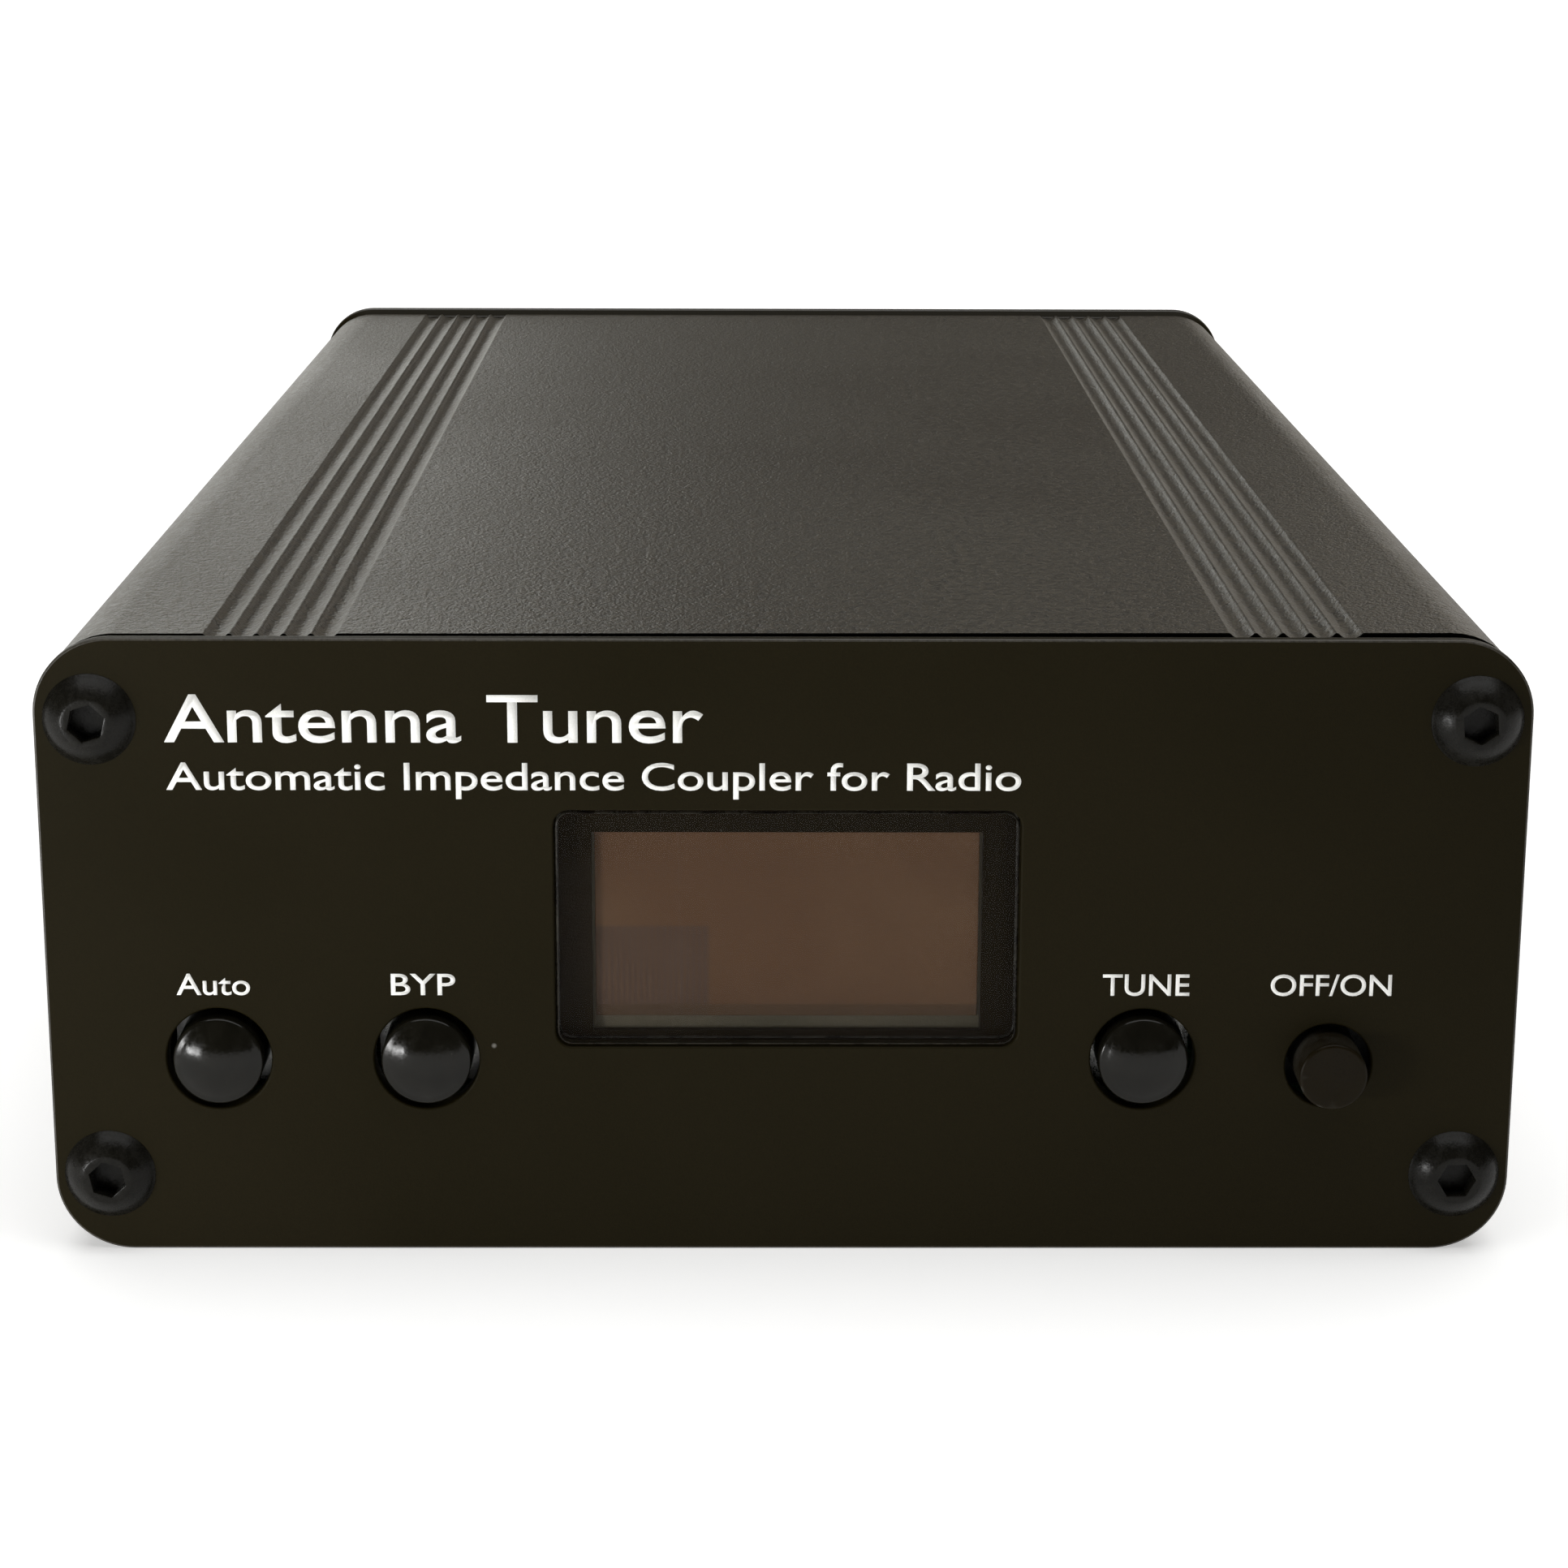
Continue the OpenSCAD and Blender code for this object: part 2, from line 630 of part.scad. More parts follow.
module socket_contact(x) color([0.85, 0.72, 0.4]) at_rear(x, case_z) {
    top = flange_t + barrel_len - socket_recess;
    slit = 0.4;
    difference() {
        union() {
            translate([0, 0, -4.6]) cylinder(r = 2.62, h = top + 4.6);
            translate([0, 0, -socket_tail]) cylinder(r = 1.7, h = 6);
        }
        translate([0, 0, 0.5]) cylinder(d = contact_bore_d, h = 30);
        translate([0, 0, -socket_tail - cut]) cylinder(r = 1.1, h = 3.5 + cut);
        for (a = [45, 135]) rotate([0, 0, a]) translate([0, 0, top - 3]) cube([8, slit, 7], center = true);
    }
}

module input_socket_shell() socket_shell(-socket_x);
module input_socket_insulator() socket_insulator(-socket_x);
module input_socket_contact() socket_contact(-socket_x);
module antenna_socket_shell() socket_shell(socket_x);
module antenna_socket_insulator() socket_insulator(socket_x);
module antenna_socket_contact() socket_contact(socket_x);

module at_socket_corners() for (x = [-1, 1], u = [-1, 1], v = [-1, 1])
    at_rear(x * socket_x + u * socket_pitch / 2, case_z + v * socket_pitch / 2) children();

module socket_screws() color(steel) at_socket_corners() difference() {
    union() {
        translate([0, 0, flange_t + 0.6]) dome(2.75, 1.2);
        translate([0, 0, flange_t]) cylinder(r = 2.75, h = 0.6);
        translate([0, 0, -6]) cylinder(r = 1.45, h = 7.6);
    }
    for (a = [0, 90]) rotate([0, 0, a])
        translate([0, 0, flange_t + 1.7]) cube([2.6, 0.5, 1.6], center = true);
}

module socket_nuts() color(steel) at_socket_corners()
    translate([0, 0, -panel_t - 2.4]) hex_nut(5.5, 2.4, 1.5);

module dc_jack_body() color(black) at_rear(0, jack_z) difference() {
    union() {
        cylinder(r = 5.4, h = jack_flange_t);
        translate([0, 0, -jack_len]) cylinder(r = jack_barrel_r, h = jack_len + 0.5);
    }
    translate([0, 0, 1 - jack_len + 2]) cylinder(r = 2.8, h = 30);
    translate([0, 0, -jack_len - cut]) cylinder(r = 1.1, h = 6);
}

module dc_jack_pin() color(steel) at_rear(0, jack_z) {
    translate([0, 0, -jack_len - 1]) cylinder(r = 1.05, h = jack_len + 1.6);
    translate([0, 0, 0.6]) dome(1.05, 0.5);
}

module dc_jack_nut() color(steel) at_rear(0, jack_z)
    translate([0, 0, -panel_t - 2]) hex_nut(11, 2, jack_barrel_r + 0.05);

module ground_stud() color(steel) at_rear(0, stud_z) {
    inner = panel_t + washer_t + 0.6;
    translate([0, 0, -inner]) cylinder(r = stud_r, h = inner + stud_reach);
    translate([0, 0, -inner - 2.8]) cylinder(d = 7 / cos(30), h = 2.8, $fn = 6);
}

module ground_nuts() color(steel) at_rear(0, stud_z)
    for (z = [washer_t, outer_nut_z]) translate([0, 0, z]) hex_nut(7, nut_h, stud_r + 0.05);

module ground_washers() color(steel) at_rear(0, stud_z)
    for (z = [0, washer_t + nut_h, -panel_t - washer_t]) translate([0, 0, z]) difference() {
        cylinder(r = 4.4, h = washer_t);
        translate([0, 0, -cut]) cylinder(r = stud_r + 0.15, h = 4);
    }

// Ring tag under the stud's head, with a tail for the ground lead.
module ground_tag() color([0.85, 0.72, 0.4]) at_rear(0, stud_z)
    translate([0, 0, -panel_t - washer_t - 0.5]) difference() {
        union() {
            cylinder(r = 3.6, h = 0.5);
            translate([-10, -1.5, 0]) cube([10, 3, 0.5]);
        }
        translate([0, 0, -cut]) cylinder(r = stud_r + 0.15, h = 4);
    }

// ---------- leads inside the case ----------

lead_steps = 14;
lead_lift = 0.1;                            // leads end in solder just above the board
socket_tail_y = rear_y - socket_tail;
module socket_lead(x, foot_x) {
    coax_r = 1.25;
    path = bezier_path([[x, socket_tail_y - 0.1, case_z], [x, socket_tail_y - 8, case_z],
        [foot_x, board_rear - 3.5, 22], [foot_x, board_rear - 3.5, board_top + lead_lift]], lead_steps);
    tube(path, coax_r, [1, 0, 0]);
}
module input_lead() color(black) socket_lead(-socket_x, coupler_xs[0] + 3.5);
module antenna_lead() color(black) socket_lead(socket_x, 33);

// Two insulated wires from the jack's tail to the power connector.
module power_leads() color([0.7, 0.1, 0.1]) for (s = [-1, 1]) {
    jack_tail_y = rear_y - jack_len - 1.2;
    plug_x = power_plug[0] + s * 1.6;
    path = bezier_path([[s * 1.6, jack_tail_y, jack_z + s * 0.8], [s * 1.6, jack_tail_y - 7, jack_z],
        [plug_x, power_plug[1], 26], [plug_x, power_plug[1], board_top + 6 + lead_lift]], lead_steps);
    tube(path, 0.7, [1, 0, 0]);
}

module ground_lead() color([0.1, 0.5, 0.2]) {
    tag_y = rear_y - panel_t - washer_t - 0.5;
    path = bezier_path([[-9, tag_y - 0.75, stud_z], [-9, tag_y - 8, stud_z + 4],
        [-5, board_rear - 3, 19], [-5, board_rear - 3, board_top + lead_lift]], lead_steps);
    tube(path, 0.7, [1, 0, 0]);
}

top_shell();
bottom_shell();
front_panel();
rear_panel();
front_panel_screws();
rear_panel_screws();
display_window();
window_tape();
display_glass();
display_board();
display_header();
auto_button_cap();
bypass_button_cap();
tune_button_cap();
auto_switch_stem();
bypass_switch_stem();
tune_switch_stem();
tact_switch_housings();
tact_switch_covers();
power_button_cap();
power_switch_plunger();
power_switch_housing();
power_switch_cover();
power_spring();
main_board();
relays();
ring_cores();
ring_windings();
air_coils();
disc_capacitors();
coupler_cores();
coupler_windings();
coupler_lines();
controller_chip();
chip_socket();
driver_chips();
voltage_regulator();
filter_capacitors();
board_connectors();
display_cable();
input_socket_shell();
input_socket_insulator();
input_socket_contact();
antenna_socket_shell();
antenna_socket_insulator();
antenna_socket_contact();
socket_screws();
socket_nuts();
dc_jack_body();
dc_jack_pin();
dc_jack_nut();
ground_stud();
ground_nuts();
ground_washers();
ground_tag();
input_lead();
antenna_lead();
power_leads();
ground_lead();
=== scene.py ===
"""Looks of a compact automatic antenna tuner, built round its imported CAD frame.

The frame is in metres: +X right, +Y to the rear connectors, +Z up. Sizes named here are in millimetres.
"""
import sys
import logging
import math
from contextlib import contextmanager
from dataclasses import dataclass, field
from enum import Enum
from typing import Callable, Iterator, Sequence

import bmesh
import bpy
from mathutils import Matrix, Vector


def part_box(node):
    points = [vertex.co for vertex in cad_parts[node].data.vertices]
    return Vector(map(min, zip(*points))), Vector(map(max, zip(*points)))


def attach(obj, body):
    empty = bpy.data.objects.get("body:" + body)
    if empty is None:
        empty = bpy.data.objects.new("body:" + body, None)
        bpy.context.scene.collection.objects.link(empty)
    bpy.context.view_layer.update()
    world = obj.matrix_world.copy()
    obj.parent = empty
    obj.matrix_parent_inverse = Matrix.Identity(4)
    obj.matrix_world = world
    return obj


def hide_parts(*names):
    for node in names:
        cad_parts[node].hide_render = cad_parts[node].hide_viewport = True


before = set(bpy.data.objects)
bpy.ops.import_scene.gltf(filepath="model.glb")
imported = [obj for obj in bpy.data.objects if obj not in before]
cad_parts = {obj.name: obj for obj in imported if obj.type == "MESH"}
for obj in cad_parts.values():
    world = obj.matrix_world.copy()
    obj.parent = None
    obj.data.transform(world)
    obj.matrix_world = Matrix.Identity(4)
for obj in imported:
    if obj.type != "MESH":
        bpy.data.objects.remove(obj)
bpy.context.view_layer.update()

Piece = bpy.types.Object
Socket = bpy.types.NodeSocket
Colour = tuple[float, float, float]
Pair = tuple[float, float]
Triple = tuple[float, float, float]
Profile = list[Pair]

LOG = logging.getLogger("antenna_tuner")
MM = 0.001
TURN = 2 * math.pi
HEX_CORNERS = 1 / math.cos(math.pi / 6)
CASE = "case"
FRONT_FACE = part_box("front_panel")[0].y
REAR_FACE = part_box("rear_panel")[1].y


class Facing(Enum):
    """Which way a turned piece's own axis points: out of the front panel or out of the rear one."""

    FRONT = math.pi / 2
    REAR = -math.pi / 2


# ---------------------------------------------------------------------------
# Modelling steps
# ---------------------------------------------------------------------------


def mm(x: float, y: float, z: float) -> Vector:
    """Returns a point or a distance that is given in millimetres."""
    return Vector((x, y, z)) * MM


def only(piece: Piece) -> Piece:
    """Deselects everything, then selects one piece and makes it active.

    Args:
        piece: The piece to work on.

    Returns:
        The same piece.
    """
    bpy.ops.object.select_all(action="DESELECT")
    piece.select_set(True)
    bpy.context.view_layer.objects.active = piece
    return piece


def added(name: str) -> Piece:
    """Names the object that the last operator added, and returns it."""
    bpy.context.active_object.name = name
    return bpy.context.active_object


@contextmanager
def editing(piece: Piece) -> Iterator[None]:
    """Opens edit mode on one piece with all of it selected, and closes it again."""
    only(piece)
    bpy.ops.object.mode_set(mode="EDIT")
    bpy.ops.mesh.select_mode(type="VERT")
    bpy.ops.mesh.select_all(action="SELECT")
    yield
    bpy.ops.object.mode_set(mode="OBJECT")


def clean(threshold: float = 1e-6) -> None:
    """Merges points that lie together and turns every face outward, in edit mode."""
    bpy.ops.mesh.select_all(action="SELECT")
    bpy.ops.mesh.remove_doubles(threshold=threshold)
    bpy.ops.mesh.normals_make_consistent(inside=False)


def bevel_edges(piece: Piece, wanted: Callable[[Vector, Vector], bool], width: float, steps: int) -> None:
    """Bevels the edges whose two ends pass a test.

    Args:
        piece: The piece.
        wanted: Says, from an edge's two end points, whether it is wanted.
        width: Width of the bevel, in millimetres.
        steps: Steps across it.
    """
    with editing(piece):
        bpy.ops.mesh.select_mode(type="EDGE")
        bpy.ops.mesh.select_all(action="DESELECT")
        mesh = bmesh.from_edit_mesh(piece.data)
        for edge in mesh.edges:
            edge.select_set(wanted(edge.verts[0].co, edge.verts[1].co))
        bmesh.update_edit_mesh(piece.data)
        bpy.ops.mesh.bevel(offset=width * MM, segments=steps, affect="EDGES")


def round_posts(piece: Piece, radius: float, steps: int, axis: int = 1) -> None:
    """Rounds the four edges of a block that run along one axis, which is Y unless said otherwise."""
    bevel_edges(piece, lambda a, b: 2 * abs(a[axis] - b[axis]) > sum(map(abs, a - b)), radius, steps)


def settle(piece: Piece) -> Piece:
    """Moves a piece's place, turn and scale into its mesh, and returns it."""
    only(piece)
    bpy.ops.object.transform_apply(location=True, rotation=True, scale=True)
    return piece


def smooth(piece: Piece, angle: float) -> Piece:
    """Shades a piece smooth, but for edges sharper than some degrees, and returns it."""
    only(piece)
    bpy.ops.object.shade_smooth_by_angle(angle=math.radians(angle))
    return piece


def apply_modifier(piece: Piece, kind: str, **settings: object) -> None:
    """Adds one modifier with its settings and applies it."""
    only(piece)
    modifier = piece.modifiers.new(kind.lower(), kind)
    for name, value in settings.items():
        setattr(modifier, name, value)
    bpy.ops.object.modifier_apply(modifier=modifier.name)


def cut(piece: Piece, tool: Piece, operation: str = "DIFFERENCE") -> None:
    """Cuts a tool's shape out of a piece, or keeps only what lies in it, and removes the tool."""
    apply_modifier(piece, "BOOLEAN", operation=operation, solver="EXACT", object=tool)
    bpy.data.objects.remove(tool)


def soften(piece: Piece, width: float, angle: float = 35.0, segments: int = 2, edge_slot: int = -1) -> None:
    """Rounds a piece's sharp edges and weights its normals, so flat faces stay flat.

    Args:
        piece: The piece.
        width: Width of the rounding, in millimetres.
        angle: Edges sharper than this many degrees are rounded.
        segments: Steps across the rounding.
        edge_slot: Material slot for the rounding's own faces, or -1 for their neighbours' slot.
    """
    with editing(piece):
        clean()
    apply_modifier(
        piece, "BEVEL", width=width * MM, segments=segments, limit_method="ANGLE",
        angle_limit=math.radians(angle), use_clamp_overlap=False, miter_outer="MITER_ARC", material=edge_slot,
    )
    only(piece)
    bpy.ops.object.shade_smooth()
    apply_modifier(piece, "WEIGHTED_NORMAL", mode="FACE_AREA", weight=80)


def block(name: str, low: Vector, high: Vector) -> Piece:
    """Adds a cube and sizes it to two opposite corners.

    Args:
        name: The piece's name.
        low: Its lowest corner, in metres.
        high: Its highest corner, in metres.

    Returns:
        The block, settled.
    """
    bpy.ops.mesh.primitive_cube_add(size=1, location=(low + high) / 2)
    piece = added(name)
    piece.scale = high - low
    return settle(piece)


def turned(name: str, profile: Profile, steps: int = 64) -> Piece:
    """Spins a profile round the Z axis, as on a lathe.

    Args:
        name: The piece's name.
        profile: Points of radius and height, in millimetres, from one end to the other.
        steps: Steps round the axis.

    Returns:
        The closed turned piece, its axis on Z.
    """
    bpy.ops.mesh.primitive_plane_add(size=MM)
    piece = added(name)
    with editing(piece):
        bpy.ops.mesh.merge(type="CENTER")
        radius, height = profile[0]
        bpy.ops.transform.translate(value=(radius * MM, 0, height * MM))
        for next_radius, next_height in profile[1:]:
            step = ((next_radius - radius) * MM, 0, (next_height - height) * MM)
            bpy.ops.mesh.extrude_region_move(TRANSFORM_OT_translate={"value": step})
            radius, height = next_radius, next_height
        bpy.ops.mesh.select_all(action="SELECT")
        bpy.ops.mesh.spin(steps=steps, angle=TURN, center=(0, 0, 0), axis=(0, 0, 1))
        clean()
    return piece


def arc(centre: Pair, radius: float, start: float, end: float, steps: int) -> Profile:
    """Points of a round stretch of a profile.

    Args:
        centre: Radius and height of the arc's centre, in millimetres.
        radius: The arc's own radius, in millimetres.
        start: First angle in degrees, from the outward direction towards up.
        end: Last angle in degrees.
        steps: Steps along the arc.

    Returns:
        The points, both ends included.
    """
    angles = [math.radians(start + (end - start) * i / steps) for i in range(steps + 1)]
    return [(max(0.0, centre[0] + radius * math.cos(a)), centre[1] + radius * math.sin(a)) for a in angles]


def dome(base: float, rise: float, foot: float, steps: int) -> Profile:
    """Points of a spherical cap, from its rim to its top.

    Args:
        base: Radius of the cap's rim, in millimetres.
        rise: Height of the cap.
        foot: Height at which its rim lies.
        steps: Steps from rim to top.

    Returns:
        The points of the cap.
    """
    radius = (base * base + rise * rise) / (2 * rise)
    rim = math.degrees(math.asin((radius - rise) / radius))
    return arc((0, foot + rise - radius), radius, rim, 90, steps)


def rings(radius: float, low: float, high: float, step: float) -> Profile:
    """Points along a straight wall, close enough together to carry a thread."""
    count = max(1, round((high - low) / step))
    return [(radius, low + (high - low) * i / count) for i in range(count + 1)]


def prism(name: str, across: float, low: float, high: float, sides: int = 6) -> Piece:
    """Adds a straight prism on the Z axis.

    Args:
        name: The piece's name.
        across: Distance between opposite corners, in millimetres.
        low: Height of its lower end, in millimetres.
        high: Height of its upper end, in millimetres.
        sides: Number of sides.

    Returns:
        The prism.
    """
    bpy.ops.mesh.primitive_cylinder_add(
        vertices=sides, radius=across / 2 * MM, depth=(high - low) * MM, location=(0, 0, (low + high) / 2 * MM)
    )
    return settle(added(name))


def cut_slots(piece: Piece, length: float, width: float, low: float, high: float, turns: Pair) -> None:
    """Cuts straight slots across a piece on Z.

    Args:
        piece: The piece.
        length: Length of each slot, in millimetres.
        width: Width of each slot.
        low: Height of the slots' floor.
        high: Height above which nothing is left to cut.
        turns: Turn of each slot about Z, in degrees.
    """
    for turn in turns:
        tool = block("slot_cutter", mm(-length / 2, -width / 2, low), mm(length / 2, width / 2, high))
        tool.rotation_euler.z = math.radians(turn)
        cut(piece, settle(tool))


def wind_thread(piece: Piece, radius: float, pitch: float, depth: float, low: float, high: float) -> None:
    """Sinks a helical thread into the outer wall of a piece turned on Z.

    Args:
        piece: The turned piece, with rings close together along the threaded wall.
        radius: Radius of the wall, in millimetres.
        pitch: Distance from turn to turn, in millimetres.
        depth: Depth of the thread, in millimetres.
        low: Height at which the thread starts, in millimetres.
        high: Height at which it ends, in millimetres.
    """
    on_wall = 0.02
    for vertex in piece.data.vertices:
        across = math.hypot(vertex.co.x, vertex.co.y)
        height = vertex.co.z / MM
        if abs(across / MM - radius) > on_wall or not low <= height <= high:
            continue
        phase = (height / pitch - math.atan2(vertex.co.y, vertex.co.x) / TURN) % 1
        fade = min(1.0, (height - low) / pitch, (high - height) / pitch)
        sink = depth * MM * abs(2 * phase - 1) * fade
        vertex.co.x *= (across - sink) / across
        vertex.co.y *= (across - sink) / across


def place(piece: Piece, spot: Vector, facing: Facing, roll: float = 0.0) -> Piece:
    """Turns a piece made on Z to face front or rear, and puts it at a spot.

    Args:
        piece: The piece, its axis on Z.
        spot: Where its own origin goes, in metres.
        facing: The panel that it stands out of.
        roll: Turn about its own axis first, in degrees.

    Returns:
        The same piece, settled.
    """
    turn = Matrix.Rotation(facing.value, 4, "X") @ Matrix.Rotation(math.radians(roll), 4, "Z")
    piece.matrix_world = Matrix.Translation(spot) @ turn
    return settle(piece)


def centre_at(node: str, y: float) -> Vector:
    """Returns the middle of a CAD node's box, with another place along Y, in metres."""
    low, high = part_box(node)
    return Vector(((low.x + high.x) / 2, y, (low.z + high.z) / 2))


def twin(piece: Piece, name: str) -> Piece:
    """Copies a piece with a mesh of its own."""
    other = piece.copy()
    other.data = piece.data.copy()
    other.name = name
    bpy.context.scene.collection.objects.link(other)
    return other


def joined(name: str, pieces: Sequence[Piece]) -> Piece:
    """Joins pieces into the first one, names it and returns it."""
    only(pieces[0])
    for piece in pieces:
        piece.select_set(True)
    bpy.ops.object.join()
    return added(name)


def refined_copy(node: str, name: str, width: float, angle: float) -> Piece:
    """Copies a CAD node's shape, merges its triangles into faces and rounds its edges.

    Args:
        node: The CAD node.
        name: Name of the new piece.
        width: Width of the edge rounding, in millimetres.
        angle: Edges sharper than this many degrees are rounded.

    Returns:
        The new piece.
    """
    piece = twin(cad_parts[node], name)
    piece.data.materials.clear()
    with editing(piece):
        bpy.ops.mesh.remove_doubles(threshold=2e-6)
        bpy.ops.mesh.customdata_custom_splitnormals_clear()
        bpy.ops.mesh.dissolve_limited(angle_limit=math.radians(0.3))
    soften(piece, width, angle)
    return piece


def two_slots(piece: Piece) -> Piece:
    """Gives a piece two empty material slots, so that modelling steps can sort its faces."""
    piece.data.materials.clear()
    for _ in range(2):
        piece.data.materials.append(None)
    return piece


def screw_spots(node: str) -> list[Pair]:
    """Returns X and Z of the four heads in a CAD node of panel screws, in metres."""
    low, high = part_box(node)
    head = PanelScrews.head / 2 * MM
    return [(x, z) for x in (low.x + head, high.x - head) for z in (low.z + head, high.z - head)]


# ---------------------------------------------------------------------------
# Finishes
# ---------------------------------------------------------------------------


class Effect(Enum):
    """The shared surface effects, each a shader node group built once."""

    GRAIN = "fine grain"
    CLOUD = "slow variation"
    DUST = "dust specks"
    SCRATCH = "hairline scratches"
    # Edge wear, which also paints a highlight on outer edges.
    EDGE = "edge wear"


class Nodes:
    """A small helper that adds and links the nodes of one material or effect."""

    def __init__(self, tree: bpy.types.NodeTree) -> None:
        """Keeps the tree that the nodes go into."""
        self.tree = tree

    def add(self, kind: str, inputs: dict, **settings: object) -> bpy.types.Node:
        """Adds a node.

        Args:
            kind: Blender's name for the node type, without its first word.
            inputs: Values or sockets for its inputs, by name or number.
            settings: Properties of the node itself.

        Returns:
            The new node.
        """
        node = self.tree.nodes.new("ShaderNode" + kind)
        for name, value in settings.items():
            setattr(node, name, value)
        for key, value in inputs.items():
            self.feed(value, node.inputs[key])
        return node

    def feed(self, value: object, target: Socket) -> None:
        """Links a socket to an input, or sets the input to a plain value."""
        if isinstance(value, Socket):
            self.tree.links.new(value, target)
        else:
            target.default_value = value

    def math(self, operation: str, first: object, second: object, clamp: bool = False) -> Socket:
        """Puts two values through a Math node and returns its output."""
        return self.add("Math", {0: first, 1: second}, operation=operation, use_clamp=clamp).outputs[0]

    def blend(self, factor: object, *colours: Socket | Colour) -> Socket:
        """Mixes two colours by a factor and returns the result."""
        first, second = (c if isinstance(c, Socket) else (*c, 1) for c in colours)
        return self.add("Mix", {"Factor": factor, 6: first, 7: second}, data_type="RGBA").outputs[2]

    def span(self, value: object, low: float, high: float, to_low: float, to_high: float) -> Socket:
        """Maps a value from one range to another, clamped, and returns it."""
        return self.add("MapRange", {0: value, 1: low, 2: high, 3: to_low, 4: to_high}).outputs[0]

    def noise(self, vector: Socket, scale: object, **inputs: float) -> Socket:
        """Adds a noise texture and returns its value."""
        return self.add("TexNoise", {"Vector": vector, "Scale": scale, **inputs}).outputs[0]

    def object_place(self) -> Socket:
        """Returns the object coordinates."""
        return self.add("TexCoord", {}).outputs["Object"]

    def effect(self, effect: Effect, vector: Socket, size: float, amount: float = 1.0) -> Socket:
        """Places a shared effect.

        Args:
            effect: Which effect.
            vector: The coordinates that it follows.
            size: Size of its pattern, in millimetres.
            amount: Strength of its value.

        Returns:
            The effect's value.
        """
        inputs = {"Vector": vector, "Size": size, "Amount": amount}
        return self.add("Group", inputs, node_tree=EFFECTS.get(effect)).outputs[0]


class EffectLibrary:
    """Builds the shared effects on first use and hands them out."""

    def __init__(self) -> None:
        """Starts with no effect built."""
        self.built: dict[Effect, bpy.types.NodeTree] = {}

    def get(self, effect: Effect) -> bpy.types.NodeTree:
        """Returns the node group of an effect, building it first if need be."""
        if effect not in self.built:
            self.built[effect] = self._build(effect)
        return self.built[effect]

    def _build(self, effect: Effect) -> bpy.types.NodeTree:
        """Makes the sockets and nodes of one effect.

        Args:
            effect: The effect to build.

        Returns:
            Its node group, with the inputs Vector, Size and Amount and the output Value.
        """
        tree = bpy.data.node_groups.new(effect.value, "ShaderNodeTree")
        tree.interface.new_socket("Vector", in_out="INPUT", socket_type="NodeSocketVector")
        for name in ("Size", "Amount"):
            socket = tree.interface.new_socket(name, in_out="INPUT", socket_type="NodeSocketFloat")
            socket.default_value = 1.0
        tree.interface.new_socket("Value", in_out="OUTPUT", socket_type="NodeSocketFloat")
        nodes = Nodes(tree)
        given = tree.nodes.new("NodeGroupInput").outputs
        scale = nodes.math("DIVIDE", 1000.0, given["Size"])
        result = getattr(self, "_" + effect.name.lower())(nodes, given["Vector"], scale)
        nodes.feed(nodes.math("MULTIPLY", result, given["Amount"]), tree.nodes.new("NodeGroupOutput").inputs[0])
        return tree

    @staticmethod
    def _grain(nodes: Nodes, vector: Socket, scale: Socket) -> Socket:
        """Blasted or moulded grain: two noises of nearly the same size, pulled apart."""
        coarse = nodes.noise(vector, scale, Detail=3.0, Roughness=0.65)
        fine = nodes.noise(vector, nodes.math("MULTIPLY", scale, 2.7), Detail=1.0)
        return nodes.span(nodes.math("ADD", coarse, nodes.math("MULTIPLY", fine, 0.6)), 0.55, 1.05, 0.0, 1.0)

    @staticmethod
    def _cloud(nodes: Nodes, vector: Socket, scale: Socket) -> Socket:
        """Slow stains and wipe marks."""
        return nodes.span(nodes.noise(vector, scale, Detail=4.0, Distortion=0.6), 0.35, 0.65, 0.0, 1.0)

    @staticmethod
    def _dust(nodes: Nodes, vector: Socket, scale: Socket) -> Socket:
        """Sparse specks: the middles of a few cells."""
        cells = nodes.add("TexVoronoi", {"Vector": vector, "Scale": scale, "Randomness": 1.0}).outputs
        lucky = nodes.add("SeparateColor", {0: cells["Color"]}).outputs[0]
        near = nodes.span(cells["Distance"], 0.01, 0.028, 1.0, 0.0)
        return nodes.math("MULTIPLY", near, nodes.math("GREATER_THAN", lucky, 0.72))

    @staticmethod
    def _scratch(nodes: Nodes, vector: Socket, scale: Socket) -> Socket:
        """Thin lines: a noise stretched along one slanted direction and cut to its ridge."""
        stretch = {"Vector": vector, "Rotation": (0.3, 0.9, 0.5), "Scale": (1.0, 0.06, 0.06)}
        noise = nodes.noise(nodes.add("Mapping", stretch).outputs[0], scale, Detail=2.0)
        ridge = nodes.math("ABSOLUTE", nodes.math("SUBTRACT", noise, 0.5), 0.0)
        return nodes.span(ridge, 0.0, 0.006, 1.0, 0.0)

    @staticmethod
    def _edge(nodes: Nodes, vector: Socket, scale: Socket) -> Socket:
        """Wear along outer edges, broken up by noise."""
        worn = nodes.span(nodes.add("NewGeometry", {}).outputs["Pointiness"], 0.52, 0.6, 0.0, 1.0)
        # Lightens outer edges by pointiness, broken up by noise: partly edge wear, partly a painted edge highlight.
        return nodes.math("MULTIPLY", worn, nodes.span(nodes.noise(vector, scale, Detail=3.0), 0.4, 0.6, 0.3, 1.0))


EFFECTS = EffectLibrary()


